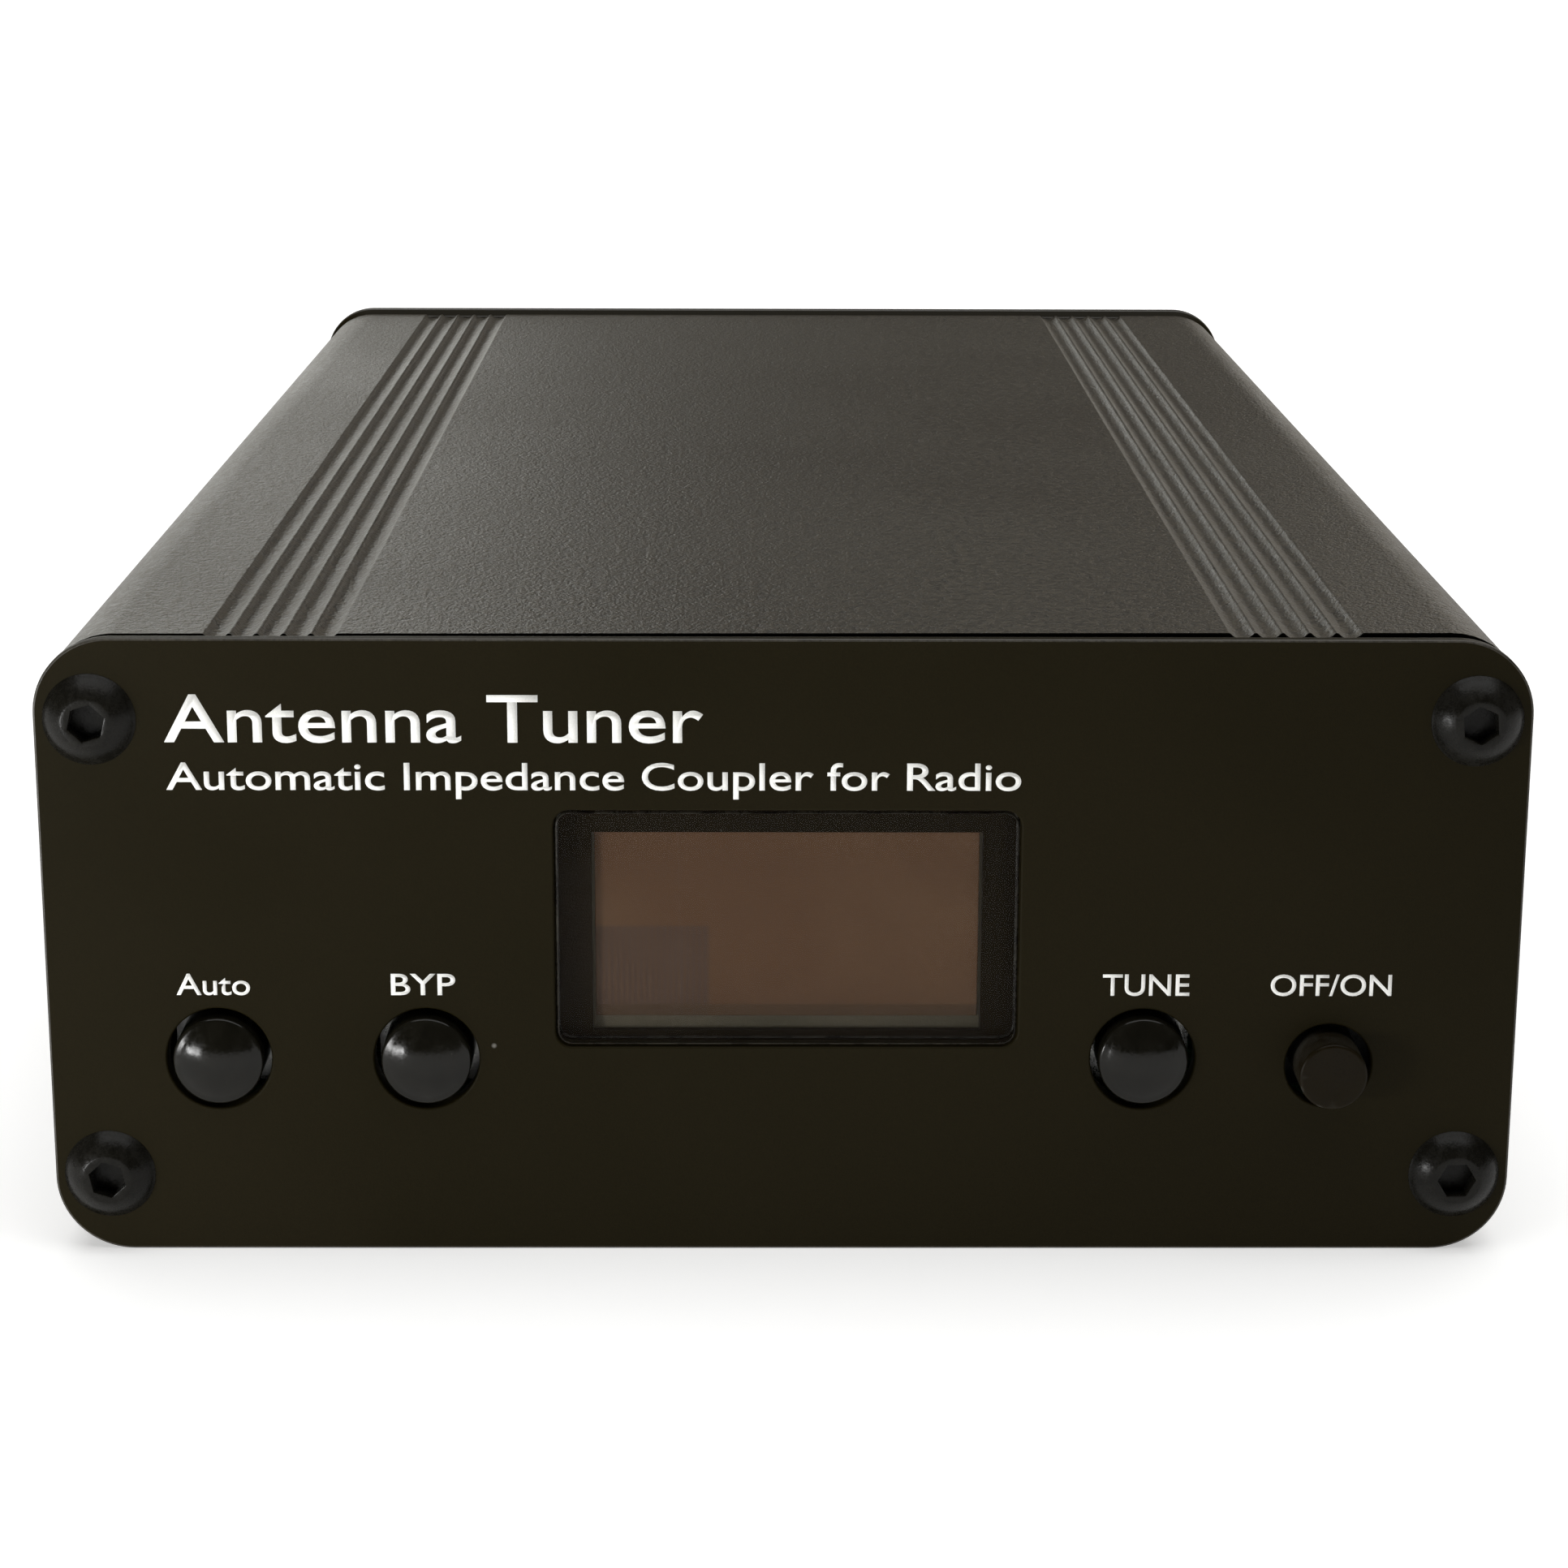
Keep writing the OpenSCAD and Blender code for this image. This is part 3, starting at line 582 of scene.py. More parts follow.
@dataclass(frozen=True)
class Finish:
    """A surface finish: two tones that vary slowly, a grain, edge wear with a painted edge highlight, scratches and
    dust.

    Sizes are in millimetres and colours are linear. The grain has a size, a change of tone and a
    height; the wear is that of edges, whose lighter tone is also a painted edge highlight, and that of scratches;
    the dust has an amount and a spacing.
    """

    name: str
    tone: Colour
    second: Colour
    roughness: Pair = (0.4, 0.5)
    grain: Triple = (0.2, 0.15, 0.01)
    wear: Pair = (0.3, 0.05)
    cloud_size: float = 18.0
    specular: float = 0.5
    metallic: float = 0.0
    coat: float = 0.0
    dust: Pair = (0.1, 3.0)
    dust_tone: Colour = (0.55, 0.53, 0.48)
    edge_tone: Colour = (0.2, 0.2, 0.19)
    alpha: float = 1.0

    def base_colour(self, nodes: Nodes, vector: Socket, cloud: Socket) -> Socket:
        """Gives the colour before grain, edges and dust; special finishes add to this.

        Args:
            nodes: The material's nodes.
            vector: Object coordinates.
            cloud: The slow variation, from 0 to 1.

        Returns:
            The colour.
        """
        return nodes.blend(cloud, self.tone, self.second)

    def material(self) -> bpy.types.Material:
        """Returns the material of this finish, made on first use."""
        if self.name in bpy.data.materials:
            return bpy.data.materials[self.name]
        material = bpy.data.materials.new(self.name)
        material.use_nodes = True
        nodes = Nodes(material.node_tree)
        grain_size, grain_tone, grain_height = self.grain
        vector = nodes.object_place()
        cloud = nodes.effect(Effect.CLOUD, vector, self.cloud_size)
        grain = nodes.effect(Effect.GRAIN, vector, grain_size)
        # Edge wear and painted edge highlight, both from the edges' pointiness.
        edge = nodes.effect(Effect.EDGE, vector, 1.5, self.wear[0])
        scratch = nodes.effect(Effect.SCRATCH, vector, 12.0, self.wear[1])
        dust = nodes.effect(Effect.DUST, vector, self.dust[1], self.dust[0])
        colour = self.base_colour(nodes, vector, cloud)
        darker, lighter = (
            nodes.add("HueSaturation", {"Value": value, "Color": colour}).outputs[0]
            for value in (1 - grain_tone, 1 + 2 * grain_tone)
        )
        colour = nodes.blend(grain, darker, lighter)
        for mask, tone in ((edge, self.edge_tone), (scratch, self.edge_tone), (dust, self.dust_tone)):
            colour = nodes.blend(mask, colour, tone)
        rough = nodes.math("ADD", nodes.span(cloud, 0, 1, *self.roughness), nodes.math("MULTIPLY", dust, 0.4), True)
        coarser = nodes.math("MULTIPLY", nodes.math("SUBTRACT", grain, 0.5), 0.16)
        height = nodes.math("SUBTRACT", grain, nodes.math("MULTIPLY", scratch, 0.8))
        bump = nodes.add("Bump", {"Height": height, "Strength": 0.8, "Distance": grain_height * MM})
        surface = {
            "Base Color": colour, "Roughness": nodes.math("ADD", rough, coarser, True), "Normal": bump.outputs[0],
            "Metallic": self.metallic, "Specular IOR Level": self.specular, "Coat Weight": self.coat,
            "Coat Roughness": 0.08,
        }
        if self.alpha < 1:
            surface["Alpha"] = nodes.math("MAXIMUM", nodes.math("MAXIMUM", dust, scratch), self.alpha)
        for name, value in surface.items():
            nodes.feed(value, material.node_tree.nodes["Principled BSDF"].inputs[name])
        return material


@dataclass(frozen=True)
class UnlitDisplay(Finish):
    """The unlit display: brown tones that are painted reflection of the room, a darker block at its lower left in
    faint rows, and a paler band below.
    """

    block_tone: Colour = (0.076, 0.050, 0.038)
    band_tone: Colour = (0.078, 0.048, 0.026)
    block_right: float = -4.4
    block_top: float = 20.0
    band_top: float = 14.95

    def base_colour(self, nodes: Nodes, vector: Socket, cloud: Socket) -> Socket:
        """Adds the darker lower-left block and the band to the two tones; see Finish.base_colour."""
        x, _, z = nodes.add("SeparateXYZ", {0: vector}).outputs
        left = nodes.span(x, (self.block_right - 0.15) * MM, self.block_right * MM, 1.0, 0.0)
        low = nodes.span(z, (self.block_top - 0.15) * MM, self.block_top * MM, 1.0, 0.0)
        waves = {"Vector": vector, "Scale": 900.0, "Distortion": 2.0, "Detail": 2.0}
        rows = nodes.add("TexWave", waves, bands_direction="X").outputs["Fac"]
        # A darker block at the lower left, broken into faint rows.
        mask = nodes.math("MULTIPLY", nodes.math("MULTIPLY", left, low), nodes.span(rows, 0.0, 1.0, 0.45, 0.8))
        darker_block = nodes.blend(mask, super().base_colour(nodes, vector, cloud), self.block_tone)
        band = nodes.span(z, self.band_top * MM, (self.band_top + 0.1) * MM, 0.8, 0.0)
        return nodes.blend(band, darker_block, self.band_tone)


@dataclass(frozen=True)
class CircuitLaminate(Finish):
    """Solder mask over copper tracks that run square to each other."""

    track_tone: Colour = (0.06, 0.28, 0.12)

    def base_colour(self, nodes: Nodes, vector: Socket, cloud: Socket) -> Socket:
        """Adds paler tracks to the two tones; see Finish.base_colour."""
        tracks = {"Vector": vector, "Scale": 180.0, "Mortar Size": 0.03, "Brick Width": 1.1, "Row Height": 0.3}
        bricks = nodes.add("TexBrick", tracks).outputs["Fac"]
        return nodes.blend(bricks, super().base_colour(nodes, vector, cloud), self.track_tone)


NO_WEAR = (0.0, 0.0)
NO_DUST = (0.0, 3.0)


class Finishes:
    """Every finish on the tuner, by the thing that it is on."""

    body = Finish("blasted_anodised_case", (0.019, 0.015, 0.009), (0.024, 0.020, 0.013), (0.40, 0.46),
                  (0.55, 0.8, 0.075), NO_WEAR, 45, 0.30, dust=(0.15, 3.0))
    # Near-black end faces: painted shade for the case ends that sit in the gap behind the panels.
    case_end_painted_shade = Finish("painted_shade_case_end", (0.0015, 0.0014, 0.0010), (0.0025, 0.0022, 0.0016), (0.8, 0.9),
                      (0.3, 0.4, 0.01), NO_WEAR, specular=0.0, dust=NO_DUST)
    panel = Finish("smooth_anodised_panel", (0.0098, 0.0076, 0.0022), (0.0120, 0.0094, 0.0034), (0.42, 0.52),
                   (0.12, 0.12, 0.004), NO_WEAR, 30, 0.05, dust=(0.45, 8.0))
    # Lighter tone for the plates' rounded outline: a painted highlight where light catches the edges.
    panel_edge = Finish("panel_outline_painted_highlight", (0.022, 0.019, 0.013), (0.034, 0.030, 0.022), (0.38, 0.5),
                        (0.25, 0.4, 0.01), NO_WEAR, 3, 0.4)
    oxide = Finish("oiled_black_oxide", (0.0046, 0.0042, 0.0030), (0.0080, 0.0074, 0.0058), (0.22, 0.32),
                   (0.3, 0.2, 0.008), NO_WEAR, 1.6, 0.13)
    button = Finish("glossy_button_plastic", (0.0040, 0.0036, 0.0022), (0.0062, 0.0056, 0.0036), (0.13, 0.2),
                    (0.5, 0.1, 0.003), NO_WEAR, 1.6, 0.22, dust=(0.1, 1.8))
    power_button = Finish("satin_button_plastic", (0.0068, 0.0044, 0.0010), (0.0085, 0.0058, 0.0016), (0.3, 0.42),
                          (0.15, 0.1, 0.003), (0.6, 0.05), 1.6, 0.08, edge_tone=(0.07, 0.068, 0.06))
    window = Finish("smoked_window_acrylic", (0.010, 0.007, 0.005), (0.014, 0.010, 0.007), (0.03, 0.08),
                    (2.0, 0.01, 0.001), (0.0, 0.04), specular=0.28, dust=(0.7, 4.2), alpha=0.1)
    window_edge = Finish("polished_window_edge", (0.004, 0.003, 0.002), (0.020, 0.018, 0.013), (0.2, 0.35),
                         (0.3, 0.4, 0.01), NO_WEAR, 1.8, 0.15)
    tape = Finish("window_border_black", (0.0095, 0.0066, 0.0028), (0.0120, 0.0084, 0.0040), (0.35, 0.5),
                  (0.1, 0.15, 0.01), NO_WEAR, specular=0.04)
    # The display's brown tones are painted reflection of the room in the polariser.
    display = UnlitDisplay("display_painted_room_reflection", (0.112, 0.060, 0.030), (0.136, 0.078, 0.041), (0.2, 0.3),
                           (0.3, 0.03, 0.001), (0.0, 0.04), 14, 0.1, dust=(0.6, 2.6))
    display_ledge = Finish("display_glass_ledge", (0.088, 0.078, 0.050), (0.115, 0.100, 0.068), (0.2, 0.3),
                           (0.3, 0.05, 0.01), (0.0, 0.05), specular=0.1, dust=(0.4, 2.0))
    ink = Finish("screen_printed_ink", (0.93, 0.93, 0.89), (0.97, 0.97, 0.93), (0.5, 0.65),
                 (0.1, 0.05, 0.004), (0.0, 0.02), 3, dust=NO_DUST)
    nickel = Finish("nickel_plated_brass", (0.62, 0.60, 0.55), (0.70, 0.68, 0.63), (0.16, 0.30),
                    (0.5, 0.05, 0.003), (0.25, 0.1), 5, metallic=1.0, edge_tone=(0.75, 0.66, 0.45))
    zinc = Finish("zinc_plated_steel", (0.50, 0.51, 0.52), (0.62, 0.62, 0.60), (0.25, 0.42),
                  (0.4, 0.08, 0.005), (0.3, 0.1), 4, metallic=1.0)
    silver = Finish("silver_plated_contact", (0.72, 0.64, 0.45), (0.60, 0.50, 0.33), (0.18, 0.34),
                    (0.4, 0.06, 0.003), (0.2, 0.1), 2, metallic=1.0)
    fluoropolymer = Finish("white_fluoropolymer", (0.78, 0.77, 0.74), (0.84, 0.83, 0.80), (0.35, 0.5),
                           (0.3, 0.03, 0.004), (0.0, 0.05), 5)
    jack = Finish("moulded_jack_plastic", (0.012, 0.012, 0.012), (0.018, 0.018, 0.017), (0.25, 0.4),
                  (0.2, 0.15, 0.006), edge_tone=(0.08, 0.08, 0.08))
    board = CircuitLaminate("green_board_laminate", (0.012, 0.10, 0.035), (0.018, 0.13, 0.05), (0.25, 0.35),
                            (0.4, 0.15, 0.004), edge_tone=(0.35, 0.33, 0.2))
    blue_board = CircuitLaminate("blue_board_laminate", (0.008, 0.03, 0.13), (0.012, 0.04, 0.17), (0.25, 0.35),
                                 (0.4, 0.15, 0.004), edge_tone=(0.3, 0.3, 0.25), track_tone=(0.03, 0.10, 0.3))
    relay = Finish("relay_case_plastic", (0.03, 0.09, 0.28), (0.04, 0.11, 0.32), (0.25, 0.35))
    powder_core = Finish("coated_powder_core", (0.42, 0.045, 0.03), (0.50, 0.06, 0.04), (0.4, 0.55),
                         (0.3, 0.15, 0.02))
    ferrite = Finish("grey_ferrite", (0.055, 0.055, 0.058), (0.08, 0.08, 0.082), (0.5, 0.65), (0.25, 0.15, 0.02))
    copper = Finish("enamelled_copper_wire", (0.50, 0.19, 0.07), (0.60, 0.26, 0.10), (0.15, 0.28),
                    (0.3, 0.15, 0.003), metallic=0.9, coat=0.5)
    capacitor = Finish("dipped_capacitor_coat", (0.06, 0.16, 0.42), (0.08, 0.2, 0.48), (0.2, 0.3),
                       (0.6, 0.15, 0.02), coat=0.4)
    sleeve = Finish("natural_line_sleeve", (0.68, 0.64, 0.52), (0.74, 0.70, 0.58), grain=(0.3, 0.15, 0.01))
    chip = Finish("moulded_chip_epoxy", (0.014, 0.014, 0.014), (0.02, 0.02, 0.02), (0.5, 0.62), (0.12, 0.15, 0.012))
    can = Finish("shrunk_can_sleeve", (0.012, 0.012, 0.04), (0.018, 0.018, 0.05), (0.2, 0.3), (0.5, 0.15, 0.01))
    natural = Finish("natural_connector_plastic", (0.70, 0.66, 0.54), (0.76, 0.72, 0.60))
    tinned = Finish("tinned_sheet_steel", (0.58, 0.58, 0.56), (0.66, 0.66, 0.64), (0.25, 0.4),
                    (0.4, 0.15, 0.004), (0.3, 0.1), metallic=1.0)
    wire_grey = Finish("grey_cable_cover", (0.18, 0.18, 0.185), (0.22, 0.22, 0.22))
    wire_black = Finish("black_cable_cover", (0.012, 0.012, 0.012), (0.02, 0.02, 0.02), (0.35, 0.45))
    wire_red = Finish("red_wire_cover", (0.38, 0.015, 0.01), (0.44, 0.02, 0.015), (0.35, 0.45))
    wire_green = Finish("green_wire_cover", (0.02, 0.2, 0.04), (0.03, 0.25, 0.05), (0.35, 0.45))
    plain_dark = Finish("dark_switch_plastic", (0.05, 0.05, 0.05), (0.07, 0.07, 0.07))
    plain_white = Finish("white_switch_plastic", (0.70, 0.70, 0.67), (0.76, 0.76, 0.73))


def dress(
    piece: Piece, finish: Finish, body: str = CASE, replaced: Sequence[str] = (),
    second: Finish | None = None,
) -> None:
    """Gives a finished piece its materials, its body and the CAD nodes that it stands for.

    Args:
        piece: The finished piece.
        finish: Its finish.
        body: The CAD body that it moves with.
        replaced: The CAD nodes that it stands for.
        second: The finish of the faces that are in its second slot, if it has one.
    """
    numbers = [face.material_index for face in piece.data.polygons]
    piece.data.materials.clear()
    for layer in (finish, second) if second else (finish,):
        piece.data.materials.append(layer.material())
    for face, number in zip(piece.data.polygons, numbers):
        face.material_index = number if second else 0
    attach(piece, body)
    if replaced:
        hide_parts(*replaced)
    LOG.info("%s: %d faces, on %s", piece.name, len(piece.data.polygons), body)


# ---------------------------------------------------------------------------
# Sub-assemblies
# ---------------------------------------------------------------------------


@dataclass
class ExtrudedCase:
    """The two extruded halves of the body."""

    edge_round: float = 0.09
    sharp: float = 24.0
    end_slope: float = 0.35

    def build(self) -> None:
        """Makes both halves from the CAD profile, with rounded edges and end faces darkened as painted shade."""
        for node in ("top_shell", "bottom_shell"):
            half = two_slots(refined_copy(node, node + "_extrusion", self.edge_round, self.sharp))
            for face in half.data.polygons:
                # Faces that look along Y, the case ends, get the near-black second finish: painted shade.
                face.material_index = int(abs(face.normal.y) > self.end_slope)
            dress(half, Finishes.body, replaced=(node,), second=Finishes.case_end_painted_shade)


@dataclass
class EndPanels:
    """The front and rear plates with their holes."""

    corner: float = 4.6
    screw_hole: float = 3.4
    button_hole: float = 6.3
    power_hole: float = 5.2
    socket_hole: float = 15.0
    jack_hole: float = 8.1
    stud_hole: float = 4.2
    window_corner: float = 1.0
    window_gap: float = 0.1
    edge_round: float = 0.14
    relief: float = 0.7
    outline: float = 1.6

    def plate(self, side: str, inner: float, holes: dict[str, float]) -> Piece:
        """Makes a plate with rounded corners, a relieved inner rim and its round holes.

        Args:
            side: Which panel: front or rear.
            inner: Y of the face that looks at the case, in metres.
            holes: Diameter of the hole at each CAD node that reaches through it.

        Returns:
            The plate.
        """
        node = side + "_panel"
        panel = block(side + "_plate", *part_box(node))
        round_posts(panel, self.corner, 20)
        bevel_edges(panel, lambda a, b: max(abs(a.y - inner), abs(b.y - inner)) < 0.01 * MM, self.relief, 1)
        low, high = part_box(node)
        middle = (low.y + high.y) / 2
        drills = [(Vector((x, middle, z)), self.screw_hole) for x, z in screw_spots("front_panel_screws")]
        drills += [(centre_at(through, middle), width) for through, width in holes.items()]
        for spot, width in drills:
            cut(panel, place(prism("drill", width, -4, 4, 72), spot, Facing.FRONT))
        return panel

    def cut_window(self, panel: Piece) -> None:
        """Cuts the display window's opening out of the front plate."""
        low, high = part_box("display_window")
        reach = mm(self.window_gap, 3, self.window_gap)
        opening = block("window_cutter", low - reach, high + reach)
        round_posts(opening, self.window_corner, 10)
        cut(panel, opening)

    def finish(self, panel: Piece, node: str) -> None:
        """Softens a plate's edges, and gives its rounded outline a lighter finish that is a painted highlight.

        Args:
            panel: The plate, with all its holes.
            node: The CAD node that it stands for.
        """
        soften(two_slots(panel), self.edge_round, segments=3, edge_slot=1)
        low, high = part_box(node)
        # Only the rounding along the outline keeps the lighter finish, the painted highlight.
        for face in panel.data.polygons:
            spot = face.center
            if min(spot.x - low.x, high.x - spot.x, spot.z - low.z, high.z - spot.z) > self.outline * MM:
                face.material_index = 0
        dress(panel, Finishes.panel, replaced=(node,), second=Finishes.panel_edge)

    def build(self) -> None:
        """Makes both plates."""
        caps = {f"{name}_button_cap": self.button_hole for name in PushButtons.names}
        front = self.plate("front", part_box("front_panel")[1].y, caps | {"power_button_cap": self.power_hole})
        self.cut_window(front)
        self.finish(front, "front_panel")
        rear = self.plate("rear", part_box("rear_panel")[0].y, {
            "input_socket_contact": self.socket_hole, "antenna_socket_contact": self.socket_hole,
            "dc_jack_pin": self.jack_hole, "ground_stud": self.stud_hole,
        })
        self.finish(rear, "rear_panel")


@dataclass
class PanelScrews:
    """The button-head socket screws that hold both end panels."""

    head: float = 5.5
    rise: float = 1.65
    rim: float = 0.22
    crown: float = 1.5
    socket: float = 2.3
    socket_depth: float = 1.6
    socket_edge: float = 0.045
    shank: float = 2.9
    length: float = 10.0
    pitch: float = 0.5
    thread: float = 0.27
    rolls: tuple[float, ...] = (12.0, 47.0, 31.0, 5.0)

    def screw(self) -> Piece:
        """Makes one screw on Z: rounded head, hexagonal socket and threaded shank.

        Returns:
            The screw.
        """
        head, shank, start = self.head / 2, self.shank / 2, 0.3 - self.length
        cap = [p for p in dome(head - 0.06, self.rise - self.rim, self.rim, 16) if p[0] > self.crown]
        top = cap[-1][1]
        profile = [(0.0, 0.0), (head - 0.05, 0.0), (head, 0.05), (head, self.rim - 0.05), *cap]
        piece = turned("panel_screw", profile + [(self.crown - 0.06, top + 0.03), (0.0, top + 0.03)])
        rod = [(0.0, -self.length), (shank - 0.4, -self.length), *rings(shank, start, 0.0, self.pitch / 4)]
        rod = turned("panel_screw_shank", rod + [(0.0, 0.0)], 24)
        wind_thread(rod, shank, self.pitch, self.thread, start, -0.2)
        cut(piece, prism("socket_cutter", self.socket, top - self.socket_depth, top + 1))
        apply_modifier(
            piece, "BEVEL", width=self.socket_edge * MM, segments=2, limit_method="ANGLE",
            angle_limit=math.radians(42), use_clamp_overlap=True,
        )
        return smooth(joined("panel_screw", [piece, rod]), 35)

    def build(self) -> None:
        """Sets four screws in each panel, each turned its own way."""
        pattern = self.screw()
        rise = self.rise * MM
        for node, facing in (("front_panel_screws", Facing.FRONT), ("rear_panel_screws", Facing.REAR)):
            low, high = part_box(node)
            face = low.y + rise if facing is Facing.FRONT else high.y - rise
            copies = [
                place(twin(pattern, f"{node}_{i}"), Vector((x, face, z)), facing, self.rolls[i])
                for i, (x, z) in enumerate(screw_spots(node))
            ]
            dress(joined(node + "_set", copies), Finishes.oxide, replaced=(node,))
        bpy.data.objects.remove(pattern)


@dataclass
class DisplayWindow:
    """The lens, its black border, and the unlit display behind it."""

    lens_corner: float = 0.9
    lens_round: float = 0.12
    border_round: float = 0.03
    glass_round: float = 0.08
    film_round: float = 0.04
    film_inset: Triple = (1.84, 4.9, 1.75)
    film_rise: float = 0.12

    def build(self) -> None:
        """Makes the clear lens, the border with its opening, the display's glass and the film on it."""
        lens = block("window_lens", *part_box("display_window"))
        round_posts(lens, self.lens_corner, 10)
        soften(two_slots(lens), self.lens_round, edge_slot=1)
        dress(lens, Finishes.window, replaced=("display_window",), second=Finishes.window_edge)
        border = refined_copy("window_tape", "window_border", self.border_round, 40)
        dress(border, Finishes.tape, replaced=("window_tape",))
        low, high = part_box("display_glass")
        glass = block("display_plate", low + mm(0, self.film_rise, 0), high)
        soften(glass, self.glass_round)
        dress(glass, Finishes.display_ledge, replaced=("display_glass",))
        side, foot, top = self.film_inset
        far = Vector((high.x, low.y, high.z)) + mm(-side, self.film_rise, -top)
        film = block("display_film", low + mm(side, 0, foot), far)
        soften(film, self.film_round)
        dress(film, Finishes.display)


@dataclass
class ButtonCap:
    """What every cap shares: how far it stands proud, and how it is put in its place."""

    width: float
    proud: float

    def seat(self, node: str, ending: str, profile: Profile) -> Piece:
        """Turns a cap and puts it where its CAD node is.

        Args:
            node: The CAD node.
            ending: What is added to the node's name for the new piece.
            profile: The cap's profile.

        Returns:
            The cap in place.
        """
        piece = smooth(turned(node + ending, profile, 96), 40)
        return place(piece, centre_at(node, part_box(node)[0].y + self.proud * MM), Facing.FRONT)


@dataclass
class PushButtons(ButtonCap):
    """The three domed caps, each hollow where its stem fits."""

    width: float = 5.4
    proud: float = 1.3
    rim: float = 0.62
    shoulder: float = 0.3
    skirt: float = 3.3
    socket: float = 3.5
    roof: float = 1.0
    names = ("auto", "bypass", "tune")

    def build(self) -> None:
        """Makes the three caps, each a low dome on a skirt and on its own body."""
        radius, bore = self.width / 2, self.socket / 2
        flank, foot = radius - self.shoulder, 0.1 - self.skirt
        profile = [(0.0, -self.roof), (bore, -self.roof), (bore, foot), (bore + 0.1, -self.skirt)]
        profile += [(radius - 0.1, -self.skirt), (radius, foot)]
        profile += arc((flank, self.rim - self.shoulder), self.shoulder, 0, 75, 6)
        profile += dome(flank, self.proud - self.rim, self.rim, 20)[1:]
        for name in self.names:
            node = f"{name}_button_cap"
            dress(self.seat(node, "_dome", profile), Finishes.button, f"{name}_button", (node,))


@dataclass
class PowerButton(ButtonCap):
    """The flat round cap of the latching switch."""

    width: float = 4.1
    proud: float = 2.2
    reach: float = 3.2
    round: float = 0.22
    dish: float = 0.08
    socket: float = 2.9
    roof: float = 1.0

    def build(self) -> None:
        """Makes the cap with a rounded rim and a slightly dished face."""
        node = "power_button_cap"
        radius, bore, floor = self.width / 2, self.socket / 2, self.proud - self.dish
        profile = [(0.0, -self.roof), (bore, -self.roof), (bore, -self.reach), (radius, -self.reach)]
        profile += arc((radius - self.round, self.proud - self.round), self.round, 0, 90, 6)
        profile += [(radius * 0.6, self.proud - self.dish * 0.7), (radius * 0.3, floor), (0.0, floor)]
        cap = self.seat(node, "_plunger", profile)
        dress(cap, Finishes.power_button, "power_button", (node,))


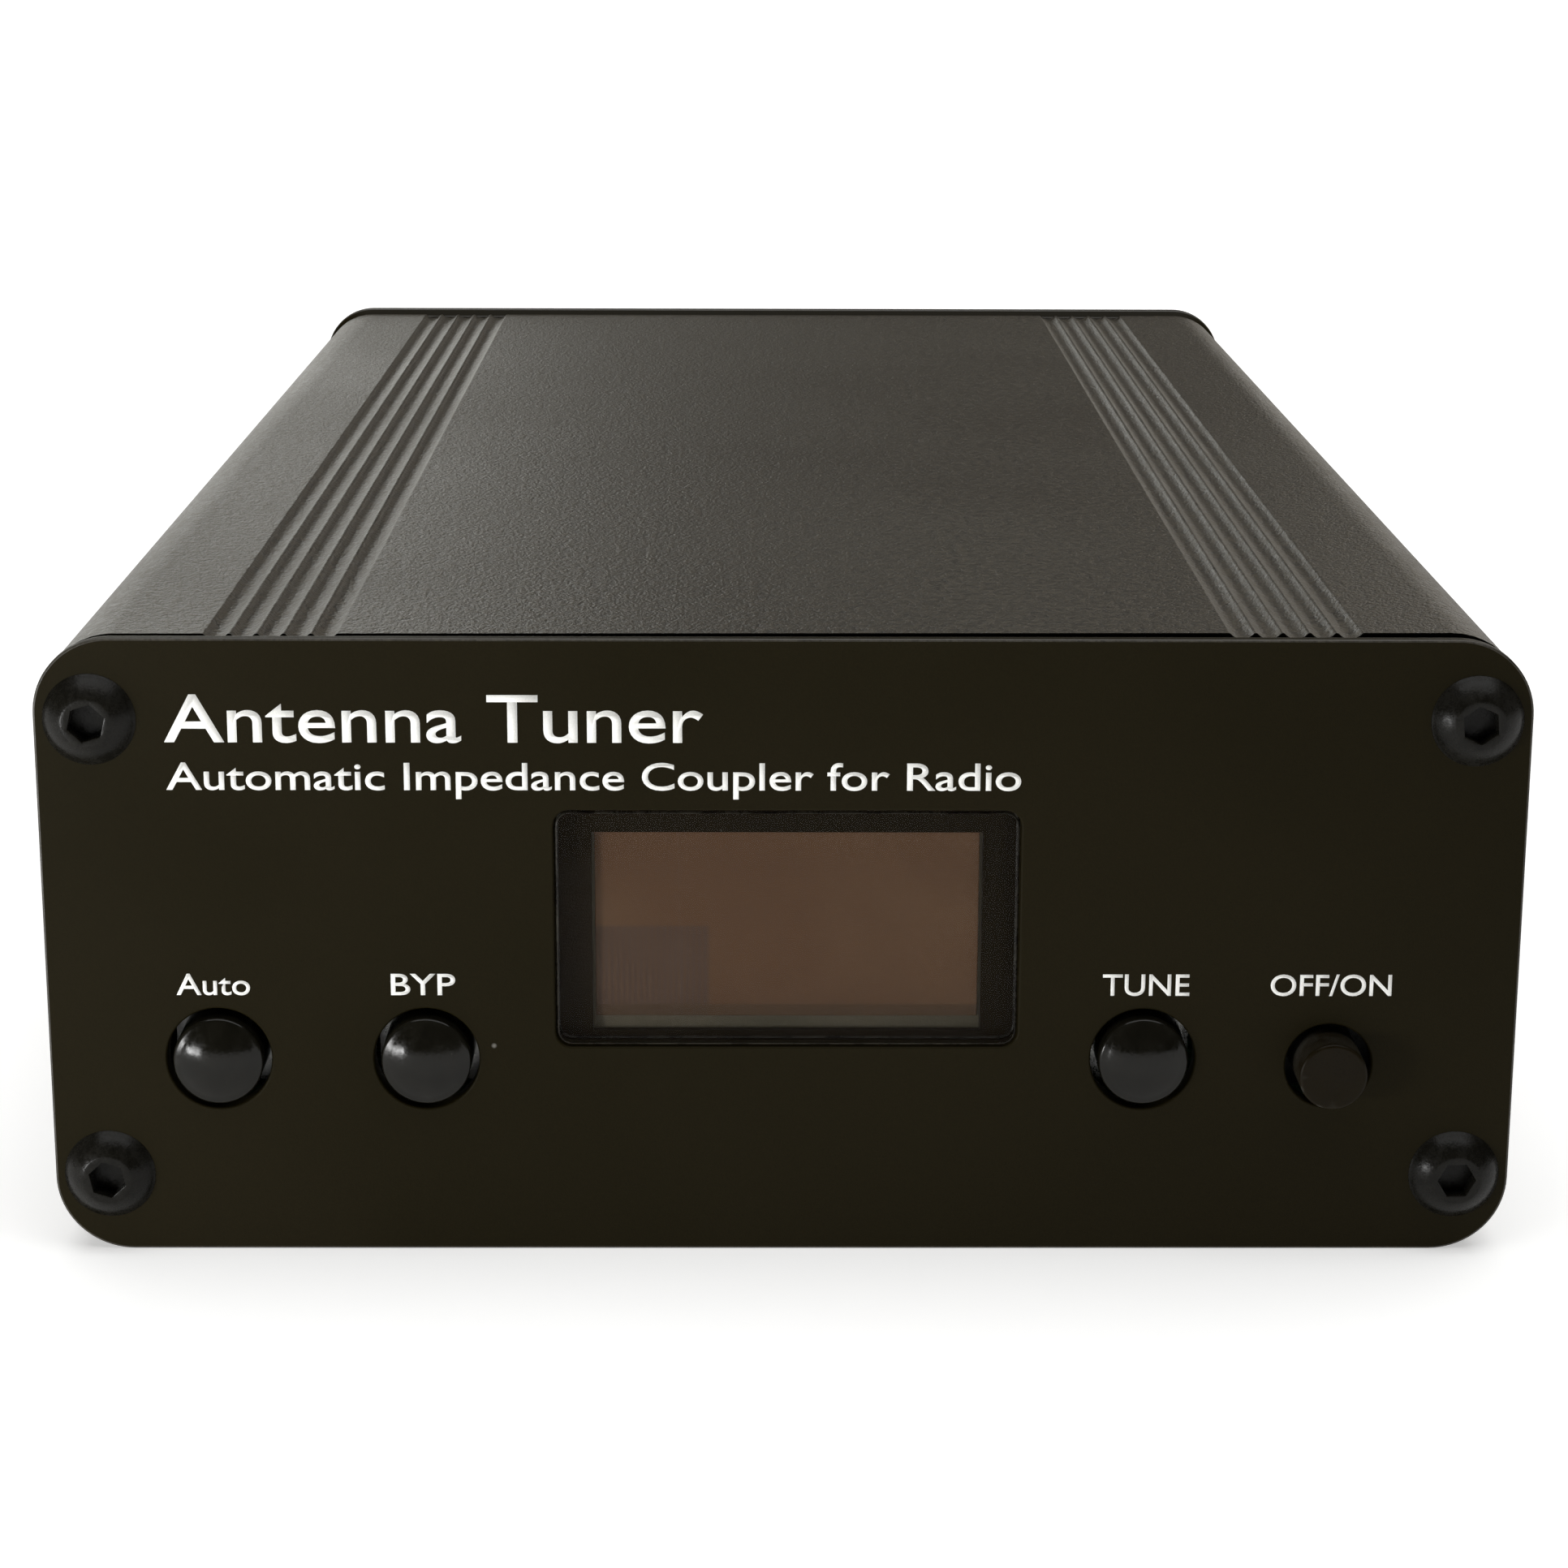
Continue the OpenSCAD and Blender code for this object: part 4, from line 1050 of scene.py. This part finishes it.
@dataclass
class CoaxSockets:
    """The two threaded coaxial sockets on square flanges."""

    flange: float = 25.4
    flange_t: float = 1.6
    flange_corner: float = 1.2
    flange_round: float = 0.15
    barrel: float = 15.88
    barrel_len: float = 11.2
    bore: float = 12.6
    pitch: float = 1.058
    thread_depth: float = 0.55
    notch: float = 1.4
    screw_pitch: float = 18.26
    screw_hole: float = 3.3
    recess: float = 3.2
    contact: float = 5.24
    pin_bore: float = 4.0
    slit: float = 0.4
    slit_depth: float = 6.5
    boss: float = 14.4
    boss_len: float = 3.0
    inner_end: float = 4.6

    def shell(self) -> Piece:
        """Makes the flange and the threaded barrel as one piece on Z.

        Returns:
            The shell.
        """
        half = self.flange / 2 * MM
        plate = block("flange", Vector((-half, -half, 0)), Vector((half, half, self.flange_t * MM)))
        round_posts(plate, self.flange_corner, 8, axis=2)
        cut(plate, prism("bore_cutter", self.bore + 1.0, -2, 4, 72))
        for x, y in ((-1, -1), (-1, 1), (1, -1), (1, 1)):
            hole = prism("screw_hole", self.screw_hole, -2, 4, 32)
            hole.location = Vector((x, y, 0)) * self.screw_pitch / 2 * MM
            cut(plate, settle(hole))
        soften(plate, self.flange_round)
        outer, inner, top = self.barrel / 2, self.bore / 2, self.flange_t + self.barrel_len
        profile = [(inner, -self.boss_len), (self.boss / 2, -self.boss_len), (self.boss / 2, 0.0)]
        profile += [(outer, self.flange_t - 0.4), *rings(outer, self.flange_t, top - 0.5, self.pitch / 8)]
        profile += [(outer - 0.45, top), (inner + 0.15, top), (inner, top - 0.15), (inner, -self.boss_len)]
        barrel = turned("barrel", profile, 120)
        wind_thread(barrel, outer, self.pitch, self.thread_depth, self.flange_t + 0.6, top - 0.6)
        cut_slots(barrel, 24, self.notch, top - 1, top + 1, (0, 90))
        return joined("socket_shell", [plate, smooth(barrel, 30)])

    def insulator(self, top: float) -> Piece:
        """Makes the white insulator ring on Z.

        Args:
            top: Height of its outer end, in millimetres.

        Returns:
            The ring.
        """
        outer, inner, foot = self.bore / 2 - 0.02, self.contact / 2 + 0.03, -self.inner_end
        groove = [(4.4, top), (4.3, top - 0.25), (3.6, top - 0.25), (3.5, top)]
        profile = [(inner, foot), (outer, foot), (outer, top - 0.2), (outer - 0.2, top), *groove]
        profile += [(inner + 0.1, top), (inner, top - 0.1), (inner, foot)]
        return smooth(turned("insulator", profile, 72), 35)

    def contact_tube(self, top: float) -> Piece:
        """Makes the slotted centre contact on Z, with its solder cup behind.

        Args:
            top: Height of its outer end, in millimetres.

        Returns:
            The contact.
        """
        outer, bore, foot = self.contact / 2, self.pin_bore / 2, -self.inner_end
        profile = [(0.0, -6.6), (1.1, -6.6), (1.1, -9.9), (1.2, -10.0), (1.7, -10.0), (1.7, foot), (outer, foot)]
        profile += [(outer, top - 0.15), (outer - 0.15, top), (bore + 0.2, top), (bore, top - 0.2)]
        piece = turned("contact", profile + [(bore, 0.5), (0.0, 0.5)])
        cut_slots(piece, 8, self.slit, top - self.slit_depth, top + 0.5, (45, 135))
        return smooth(piece, 35)

    def build(self) -> None:
        """Sets a shell, an insulator and a contact at each socket's place."""
        top = self.flange_t + self.barrel_len - self.recess
        for pattern, part, finish, slot in (
            (self.shell(), "socket_shell", Finishes.nickel, "nickel_brass"),
            (self.insulator(top), "socket_insulator", Finishes.fluoropolymer, "insulator_white"),
            (self.contact_tube(top), "socket_contact", Finishes.silver, "contact_silver"),
        ):
            for side in ("input", "antenna"):
                node = f"{side}_{part}"
                piece = place(twin(pattern, node + "_detail"), centre_at(node, REAR_FACE), Facing.REAR)
                dress(piece, finish, replaced=(node,))
            bpy.data.objects.remove(pattern)


@dataclass
class RearFasteners:
    """Socket screws, the ground stud with its nuts and washers, and the power jack."""

    head: float = 5.5
    head_edge: float = 0.6
    crown: float = 1.2
    flange_t: float = 1.6
    cross: Triple = (2.6, 0.5, 0.9)
    shank: float = 2.9
    shank_pitch: float = 0.5
    stud: float = 3.95
    stud_reach: float = 12.5
    stud_inner: float = 2.9
    stud_head: float = 2.8
    stud_pitch: float = 0.7
    nut_across: float = 7.0
    nut_t: float = 2.8
    nut_turn: float = 0.35
    washer: float = 8.8
    washer_t: float = 0.8
    jack_flange: float = 10.8
    jack_flange_t: float = 1.8
    jack_barrel: float = 7.9
    jack_bore: float = 5.6
    jack_len: float = 11.0
    jack_nut: Pair = (11.0, 2.0)

    def hex_nut(self, name: str, bore: float, across: float, thick: float) -> Piece:
        """Makes a nut with chamfered corners on Z.

        Args:
            name: Its name.
            bore: Diameter of its hole, in millimetres.
            across: Distance between opposite flats.
            thick: Its thickness.

        Returns:
            The nut.
        """
        flat, corner, hole = across / 2, across / 2 * HEX_CORNERS, bore / 2
        nut = prism(name, 2 * corner, 0, thick)
        cone = [(0.0, -0.1), (flat, -0.1), (corner + 0.3, 0.45), (corner + 0.3, thick - 0.45)]
        cone += [(flat, thick + 0.1), (0.0, thick + 0.1)]
        cut(nut, turned("chamfer", cone), "INTERSECT")
        drill = [(0.0, -1), (hole + 0.9, -1), (hole + 0.3, 0.0), (hole, 0.3), (hole, thick - 0.3)]
        drill += [(hole + 0.3, thick), (hole + 0.9, thick + 1), (0.0, thick + 1)]
        cut(nut, turned("tapped_hole", drill, 48))
        soften(nut, 0.06, 25)
        return nut

    def set_on_ground(self, name: str, pieces: list[Piece], node: str) -> None:
        """Joins zinc-plated pieces made on Z, sets them round the ground point and dresses them.

        Args:
            name: Name of the joined piece.
            pieces: What it is made of.
            node: The CAD node that it stands for.
        """
        piece = place(joined(name, pieces), centre_at("ground_stud", REAR_FACE), Facing.REAR)
        dress(piece, Finishes.zinc, replaced=(node,))

    def socket_screws(self) -> None:
        """Makes the eight cross-recessed screws of the two sockets."""
        radius, shank, foot = self.head / 2, self.shank / 2, self.flange_t
        wall = rings(shank, -5.7, foot, self.shank_pitch / 4)
        rod = turned("socket_screw_shank", [(0.0, -6.0), (1.2, -6.0), *wall, (0.0, foot)], 24)
        wind_thread(rod, shank, self.shank_pitch, 0.25, -5.6, foot - 0.2)
        profile = [(0.0, foot), (radius - 0.08, foot), (radius, foot + 0.08)]
        pattern = turned("socket_screw", profile + dome(radius, self.crown, foot + self.head_edge, 10), 48)
        length, width, depth = self.cross
        top = foot + self.head_edge + self.crown
        cut_slots(pattern, length, width, top - depth, top + 1, (0, 90))
        pattern = smooth(joined("socket_screw", [pattern, rod]), 35)
        copies = []
        offset = CoaxSockets.screw_pitch / 2
        for side in ("input", "antenna"):
            spot = centre_at(f"{side}_socket_shell", REAR_FACE)
            for x, z in ((-1, -1), (-1, 1), (1, -1), (1, 1)):
                here = spot + mm(x * offset, 0, z * offset)
                copies.append(place(twin(pattern, "screw_copy"), here, Facing.REAR, 17 * len(copies)))
        bpy.data.objects.remove(pattern)
        dress(joined("socket_screw_set", copies), Finishes.zinc, replaced=("socket_screws",))

    def ground(self) -> None:
        """Makes the threaded stud with its nuts and washers."""
        radius, reach, inner = self.stud / 2, self.stud_reach, self.stud_inner
        wall = rings(radius, -inner, reach - 0.4, self.stud_pitch / 7)
        stud = turned("stud", [(0.0, -inner), *wall, (radius - 0.35, reach), (0.0, reach)])
        wind_thread(stud, radius, self.stud_pitch, 0.36, -2.0, reach - 0.5)
        head = prism("stud_head", self.nut_across * HEX_CORNERS, -inner - self.stud_head, -inner)
        soften(head, 0.1)
        self.set_on_ground("ground_stud_threaded", [smooth(stud, 35), head], "ground_stud")
        first = self.hex_nut("first_nut", self.stud + 0.1, self.nut_across, self.nut_t)
        second = twin(first, "second_nut")
        first.location.z = self.washer_t * MM
        second.location.z = (self.nut_t + 2 * self.washer_t + 0.4) * MM
        second.rotation_euler.z = self.nut_turn
        self.set_on_ground("ground_nut_pair", [settle(first), settle(second)], "ground_nuts")
        washers = []
        for foot in (0.0, self.washer_t + self.nut_t, -1.5 - self.washer_t):
            bore, outer, top = radius + 0.15, self.washer / 2, foot + self.washer_t
            profile = [(bore, foot), (outer - 0.08, foot), (outer, foot + 0.08), (outer, top - 0.15)]
            profile += [(outer - 0.15, top), (bore, top), (bore, foot)]
            washers.append(smooth(turned("washer", profile), 30))
        self.set_on_ground("ground_washer_set", washers, "ground_washers")

    def jack(self) -> None:
        """Makes the power jack's body, pin and nut."""
        spot = centre_at("dc_jack_pin", REAR_FACE)
        flange, barrel, bore = self.jack_flange / 2, self.jack_barrel / 2, self.jack_bore / 2
        top, end, pin, cavity = self.jack_flange_t, -self.jack_len, 1.05, 3 - self.jack_len
        profile = [(1.1, end), (barrel - 0.2, end), *rings(barrel, end + 0.2, 0.0, 0.125), (flange, 0.0)]
        profile += arc((flange - 0.4, top - 0.4), 0.4, 0, 90, 5)
        profile += [(bore + 0.5, top), (bore, top - 0.5), (bore, cavity), (1.1, cavity), (1.1, end)]
        body = turned("jack_body", profile, 72)
        wind_thread(body, barrel, 0.75, 0.35, end + 0.4, -0.3)
        rod = [(0.0, end - 1), (pin, end - 1), (pin, 0.6), *dome(pin, 0.5, 0.6, 8)[1:]]
        rod = turned("jack_pin", rod, 40)
        body, rod = (place(smooth(piece, 35), spot, Facing.REAR) for piece in (body, rod))
        dress(body, Finishes.jack, replaced=("dc_jack_body",))
        dress(rod, Finishes.silver, replaced=("dc_jack_pin",))
        nut = self.hex_nut("jack_nut_hex", self.jack_barrel + 0.1, *self.jack_nut)
        nut = place(nut, spot - mm(0, 3.5, 0), Facing.REAR)
        dress(nut, Finishes.zinc, replaced=("dc_jack_nut",))

    def build(self) -> None:
        """Makes all the rear hardware."""
        for step in (self.socket_screws, self.ground, self.jack):
            step()


@dataclass
class Lettering:
    """Plain function words printed on the panels."""

    ink: float = 0.02
    bold: float = 0.008
    title_left: float = -36.3
    button_line: float = 16.22
    button_height: float = 1.32
    rear_height: float = 1.5

    def word(self, name: str, text: str, spot: Pair, size: Pair, facing: Facing, align: str = "CENTER") -> None:
        """Prints one line of text.

        Args:
            name: Name of the piece.
            text: What it says.
            spot: X of its left end or middle and Z of its baseline, in millimetres.
            size: Width of the whole line and height of its capitals, in millimetres.
            facing: The panel that it is on.
            align: LEFT or CENTER.
        """
        bpy.ops.object.text_add()
        data = bpy.context.active_object.data
        data.body, data.align_x, data.offset, data.resolution_u = text, align, self.bold, 6
        bpy.ops.object.convert(target="MESH")
        piece = added(name)
        xs, ys = ([v.co[axis] for v in piece.data.vertices] for axis in (0, 1))
        width, height = size
        piece.scale = (width * MM / (max(xs) - min(xs)), height * MM / (max(ys) - max(0.0, min(ys))), 1)
        apply_modifier(settle(piece), "SOLIDIFY", thickness=self.ink * MM, offset=1)
        front = facing is Facing.FRONT
        turn = Matrix.Rotation(0 if front else math.pi, 4, "Z") @ Matrix.Rotation(math.pi / 2, 4, "X")
        face = Vector((spot[0] * MM, FRONT_FACE if front else REAR_FACE, spot[1] * MM))
        piece.matrix_world = Matrix.Translation(face) @ turn
        with editing(settle(piece)):
            clean(1e-7)
        dress(piece, Finishes.ink)

    def build(self) -> None:
        """Prints the titles, the button labels and the connector labels."""
        for name, text, z, size in (
            ("title_print", "Antenna Tuner", 31.8, (31.6, 2.85)),
            ("range_print", "Automatic Impedance Coupler for Radio", 28.9, (50.3, 1.66)),
        ):
            self.word(name, text, (self.title_left, z), size, Facing.FRONT, "LEFT")
        for name, text, x, width in (
            ("auto_print", "Auto", -34.0, 4.4), ("bypass_print", "BYP", -21.6, 3.85),
            ("tune_print", "TUNE", 21.7, 5.2), ("power_print", "OFF/ON", 32.8, 7.25),
        ):
            self.word(name, text, (x, self.button_line), (width, self.button_height), Facing.FRONT)
        for name, text, spot, width in (
            ("input_print", "TX", (-24.0, 33.4), 3.0), ("antenna_print", "ANT", (24.0, 33.4), 4.6),
            ("jack_print", "DC IN", (0.0, 34.4), 6.0), ("ground_print", "GND", (0.0, 17.7), 4.8),
        ):
            self.word(name, text, spot, (width, self.rear_height), Facing.REAR)


@dataclass
class InnerParts:
    """The CAD pieces inside the case, which keep their shape and get their finishes."""

    finishes: dict[str, str] = field(default_factory=lambda: {
        "blue_board": "display_board",
        "chip": "display_header controller_chip chip_socket driver_chips voltage_regulator",
        "plain_dark": "auto_switch_stem bypass_switch_stem tune_switch_stem tact_switch_housings "
                      "power_switch_housing",
        "tinned": "tact_switch_covers power_switch_cover power_spring", "plain_white": "power_switch_plunger",
        "board": "main_board", "relay": "relays", "powder_core": "ring_cores", "ferrite": "coupler_cores",
        "copper": "ring_windings air_coils coupler_windings", "capacitor": "disc_capacitors",
        "sleeve": "coupler_lines", "can": "filter_capacitors", "natural": "board_connectors",
        "wire_grey": "display_cable", "zinc": "socket_nuts", "silver": "ground_tag",
        "wire_black": "input_lead antenna_lead", "wire_red": "power_leads", "wire_green": "ground_lead",
    })

    def build(self) -> None:
        """Gives every inner CAD node its finish."""
        for name, nodes in self.finishes.items():
            finish = getattr(Finishes, name)
            for node in nodes.split():
                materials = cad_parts[node].data.materials
                materials.clear()
                materials.append(finish.material())
                LOG.info("%s: kept from the frame as %s", node, finish.name)


@dataclass
class Studio:
    """Floor, lights, backdrop light and the camera.

    The camera's place is in millimetres and its angles are in degrees; the rest is in metres.
    """

    lens: float = 82.05
    camera_side: float = -1.67
    camera_front: float = 203.45
    camera_height: float = 82.87
    pitch: float = 14.757
    yaw: float = 0.467
    roll: float = -0.19
    floor_size: float = 16.0
    air_light: float = 0.08
    air_colour: Colour = (1.0, 0.95, 0.86)
    floor_painted_glow: float = 0.45
    painted_glow_reach: Pair = (0.5, 1.4)

    def add(self, name: str, data: bpy.types.ID, spot: Vector, turn: Matrix) -> Piece:
        """Puts a camera or a light in the scene.

        Args:
            name: Its name.
            data: The camera or light data.
            spot: Where it stands, in metres.
            turn: How it is turned.

        Returns:
            The new object.
        """
        item = bpy.data.objects.new(name, data)
        bpy.context.scene.collection.objects.link(item)
        item.matrix_world = Matrix.Translation(spot) @ turn
        return item

    def camera(self) -> None:
        """Sets the camera in front of and above the front panel."""
        data = bpy.data.cameras.new("camera")
        data.lens, data.sensor_width, data.clip_start = self.lens, 36, 0.01
        spot = mm(self.camera_side, -self.camera_front, self.camera_height) + Vector((0, FRONT_FACE, 0))
        turn = Matrix.Identity(4)
        for angle, axis in ((-self.yaw, "Z"), (90 - self.pitch, "X"), (-self.roll, "Z")):
            turn @= Matrix.Rotation(math.radians(angle), 4, axis)
        bpy.context.scene.camera = self.add("camera", data, spot, turn)

    def floor(self) -> None:
        """Lays a pale floor with a painted glow: its emission is dimmer near the object and grows brighter away
        from it, like a lit studio cove.
        """
        bpy.ops.mesh.primitive_plane_add(size=self.floor_size)
        floor = added("studio_floor")
        paint = Finish("studio_floor", (0.86, 0.86, 0.855), (0.88, 0.88, 0.875), (0.8, 0.9), (3, 0.004, 0.0),
                       NO_WEAR, 600, 0.1, dust=NO_DUST).material()
        nodes = Nodes(paint.node_tree)
        reach = nodes.add("VectorMath", {0: nodes.object_place()}, operation="LENGTH").outputs["Value"]
        # Painted light: the floor glows though it is no lamp, dimmer near the object and white far away.
        painted_glow = nodes.blend(nodes.span(reach, *self.painted_glow_reach, 0.0, 1.0), (self.floor_painted_glow,) * 3, (1.0, 1.0, 1.0))
        shader = paint.node_tree.nodes["Principled BSDF"]
        nodes.feed(painted_glow, shader.inputs["Emission Color"])
        nodes.feed(1.0, shader.inputs["Emission Strength"])
        floor.data.materials.append(paint)

    def light(self, name: str, spot: Triple, aim: Triple, size: Pair, power: float, colour: Colour = (1, 1, 1)
              ) -> None:
        """Adds one soft rectangular light.

        Args:
            name: Its name.
            spot: Where it stands, in metres.
            aim: What it points at, in metres.
            size: Its width and height, in metres.
            power: Its power, in watts.
            colour: Its colour.
        """
        data = bpy.data.lights.new(name, "AREA")
        data.shape = "RECTANGLE"
        data.size, data.size_y = size
        data.energy, data.color = power, colour
        gaze = Vector(aim) - Vector(spot)
        self.add(name, data, Vector(spot), gaze.to_track_quat("-Z", "Y").to_matrix().to_4x4())

    def air(self) -> None:
        """Fills the room with a dim warm light, behind which the backdrop itself shows white."""
        world = bpy.data.worlds.new("studio_air")
        world.use_nodes = True
        nodes = Nodes(world.node_tree)
        dim = world.node_tree.nodes["Background"]
        nodes.feed((*self.air_colour, 1), dim.inputs["Color"])
        nodes.feed(self.air_light, dim.inputs["Strength"])
        white = nodes.add("Background", {"Color": (1, 1, 1, 1), "Strength": 1.0})
        seen = nodes.add("LightPath", {}).outputs["Is Camera Ray"]
        both = nodes.add("MixShader", {0: seen, 1: dim.outputs[0], 2: white.outputs[0]})
        nodes.feed(both.outputs[0], world.node_tree.nodes["World Output"].inputs["Surface"])
        bpy.context.scene.world = world

    def build(self) -> None:
        """Sets up the whole studio."""
        self.floor()
        self.camera()
        heart = (0, 0, 0.02)
        self.light("overhead_softbox", (0.1, 0.1, 1.3), (0, 0.1, 0), (1.6, 1.6), 19)
        self.light("back_left_softbox", (-0.80, 2.0, 0.44), heart, (1.30, 0.74), 6.3, (1.0, 1.0, 0.94))
        self.light("back_right_softbox", (0.85, 2.0, 0.48), heart, (0.80, 0.80), 2.3, (1.0, 0.94, 0.84))
        self.light("left_strip", (-0.13, -0.18, 0.012), (-0.03, -0.08, 0.012), (0.05, 0.02), 0.12)
        self.air()
        bpy.context.scene.view_settings.view_transform = "Standard"


def main() -> None:
    """Builds every sub-assembly in order."""
    logging.basicConfig(level=logging.INFO, format="%(message)s", stream=sys.stdout)
    for assembly in (
        ExtrudedCase(), EndPanels(), PanelScrews(), DisplayWindow(), PushButtons(), PowerButton(), CoaxSockets(),
        RearFasteners(), Lettering(), InnerParts(), Studio(),
    ):
        LOG.info("-- %s", type(assembly).__name__)
        assembly.build()
    bpy.ops.object.select_all(action="DESELECT")


if __name__ == "__main__":
    main()
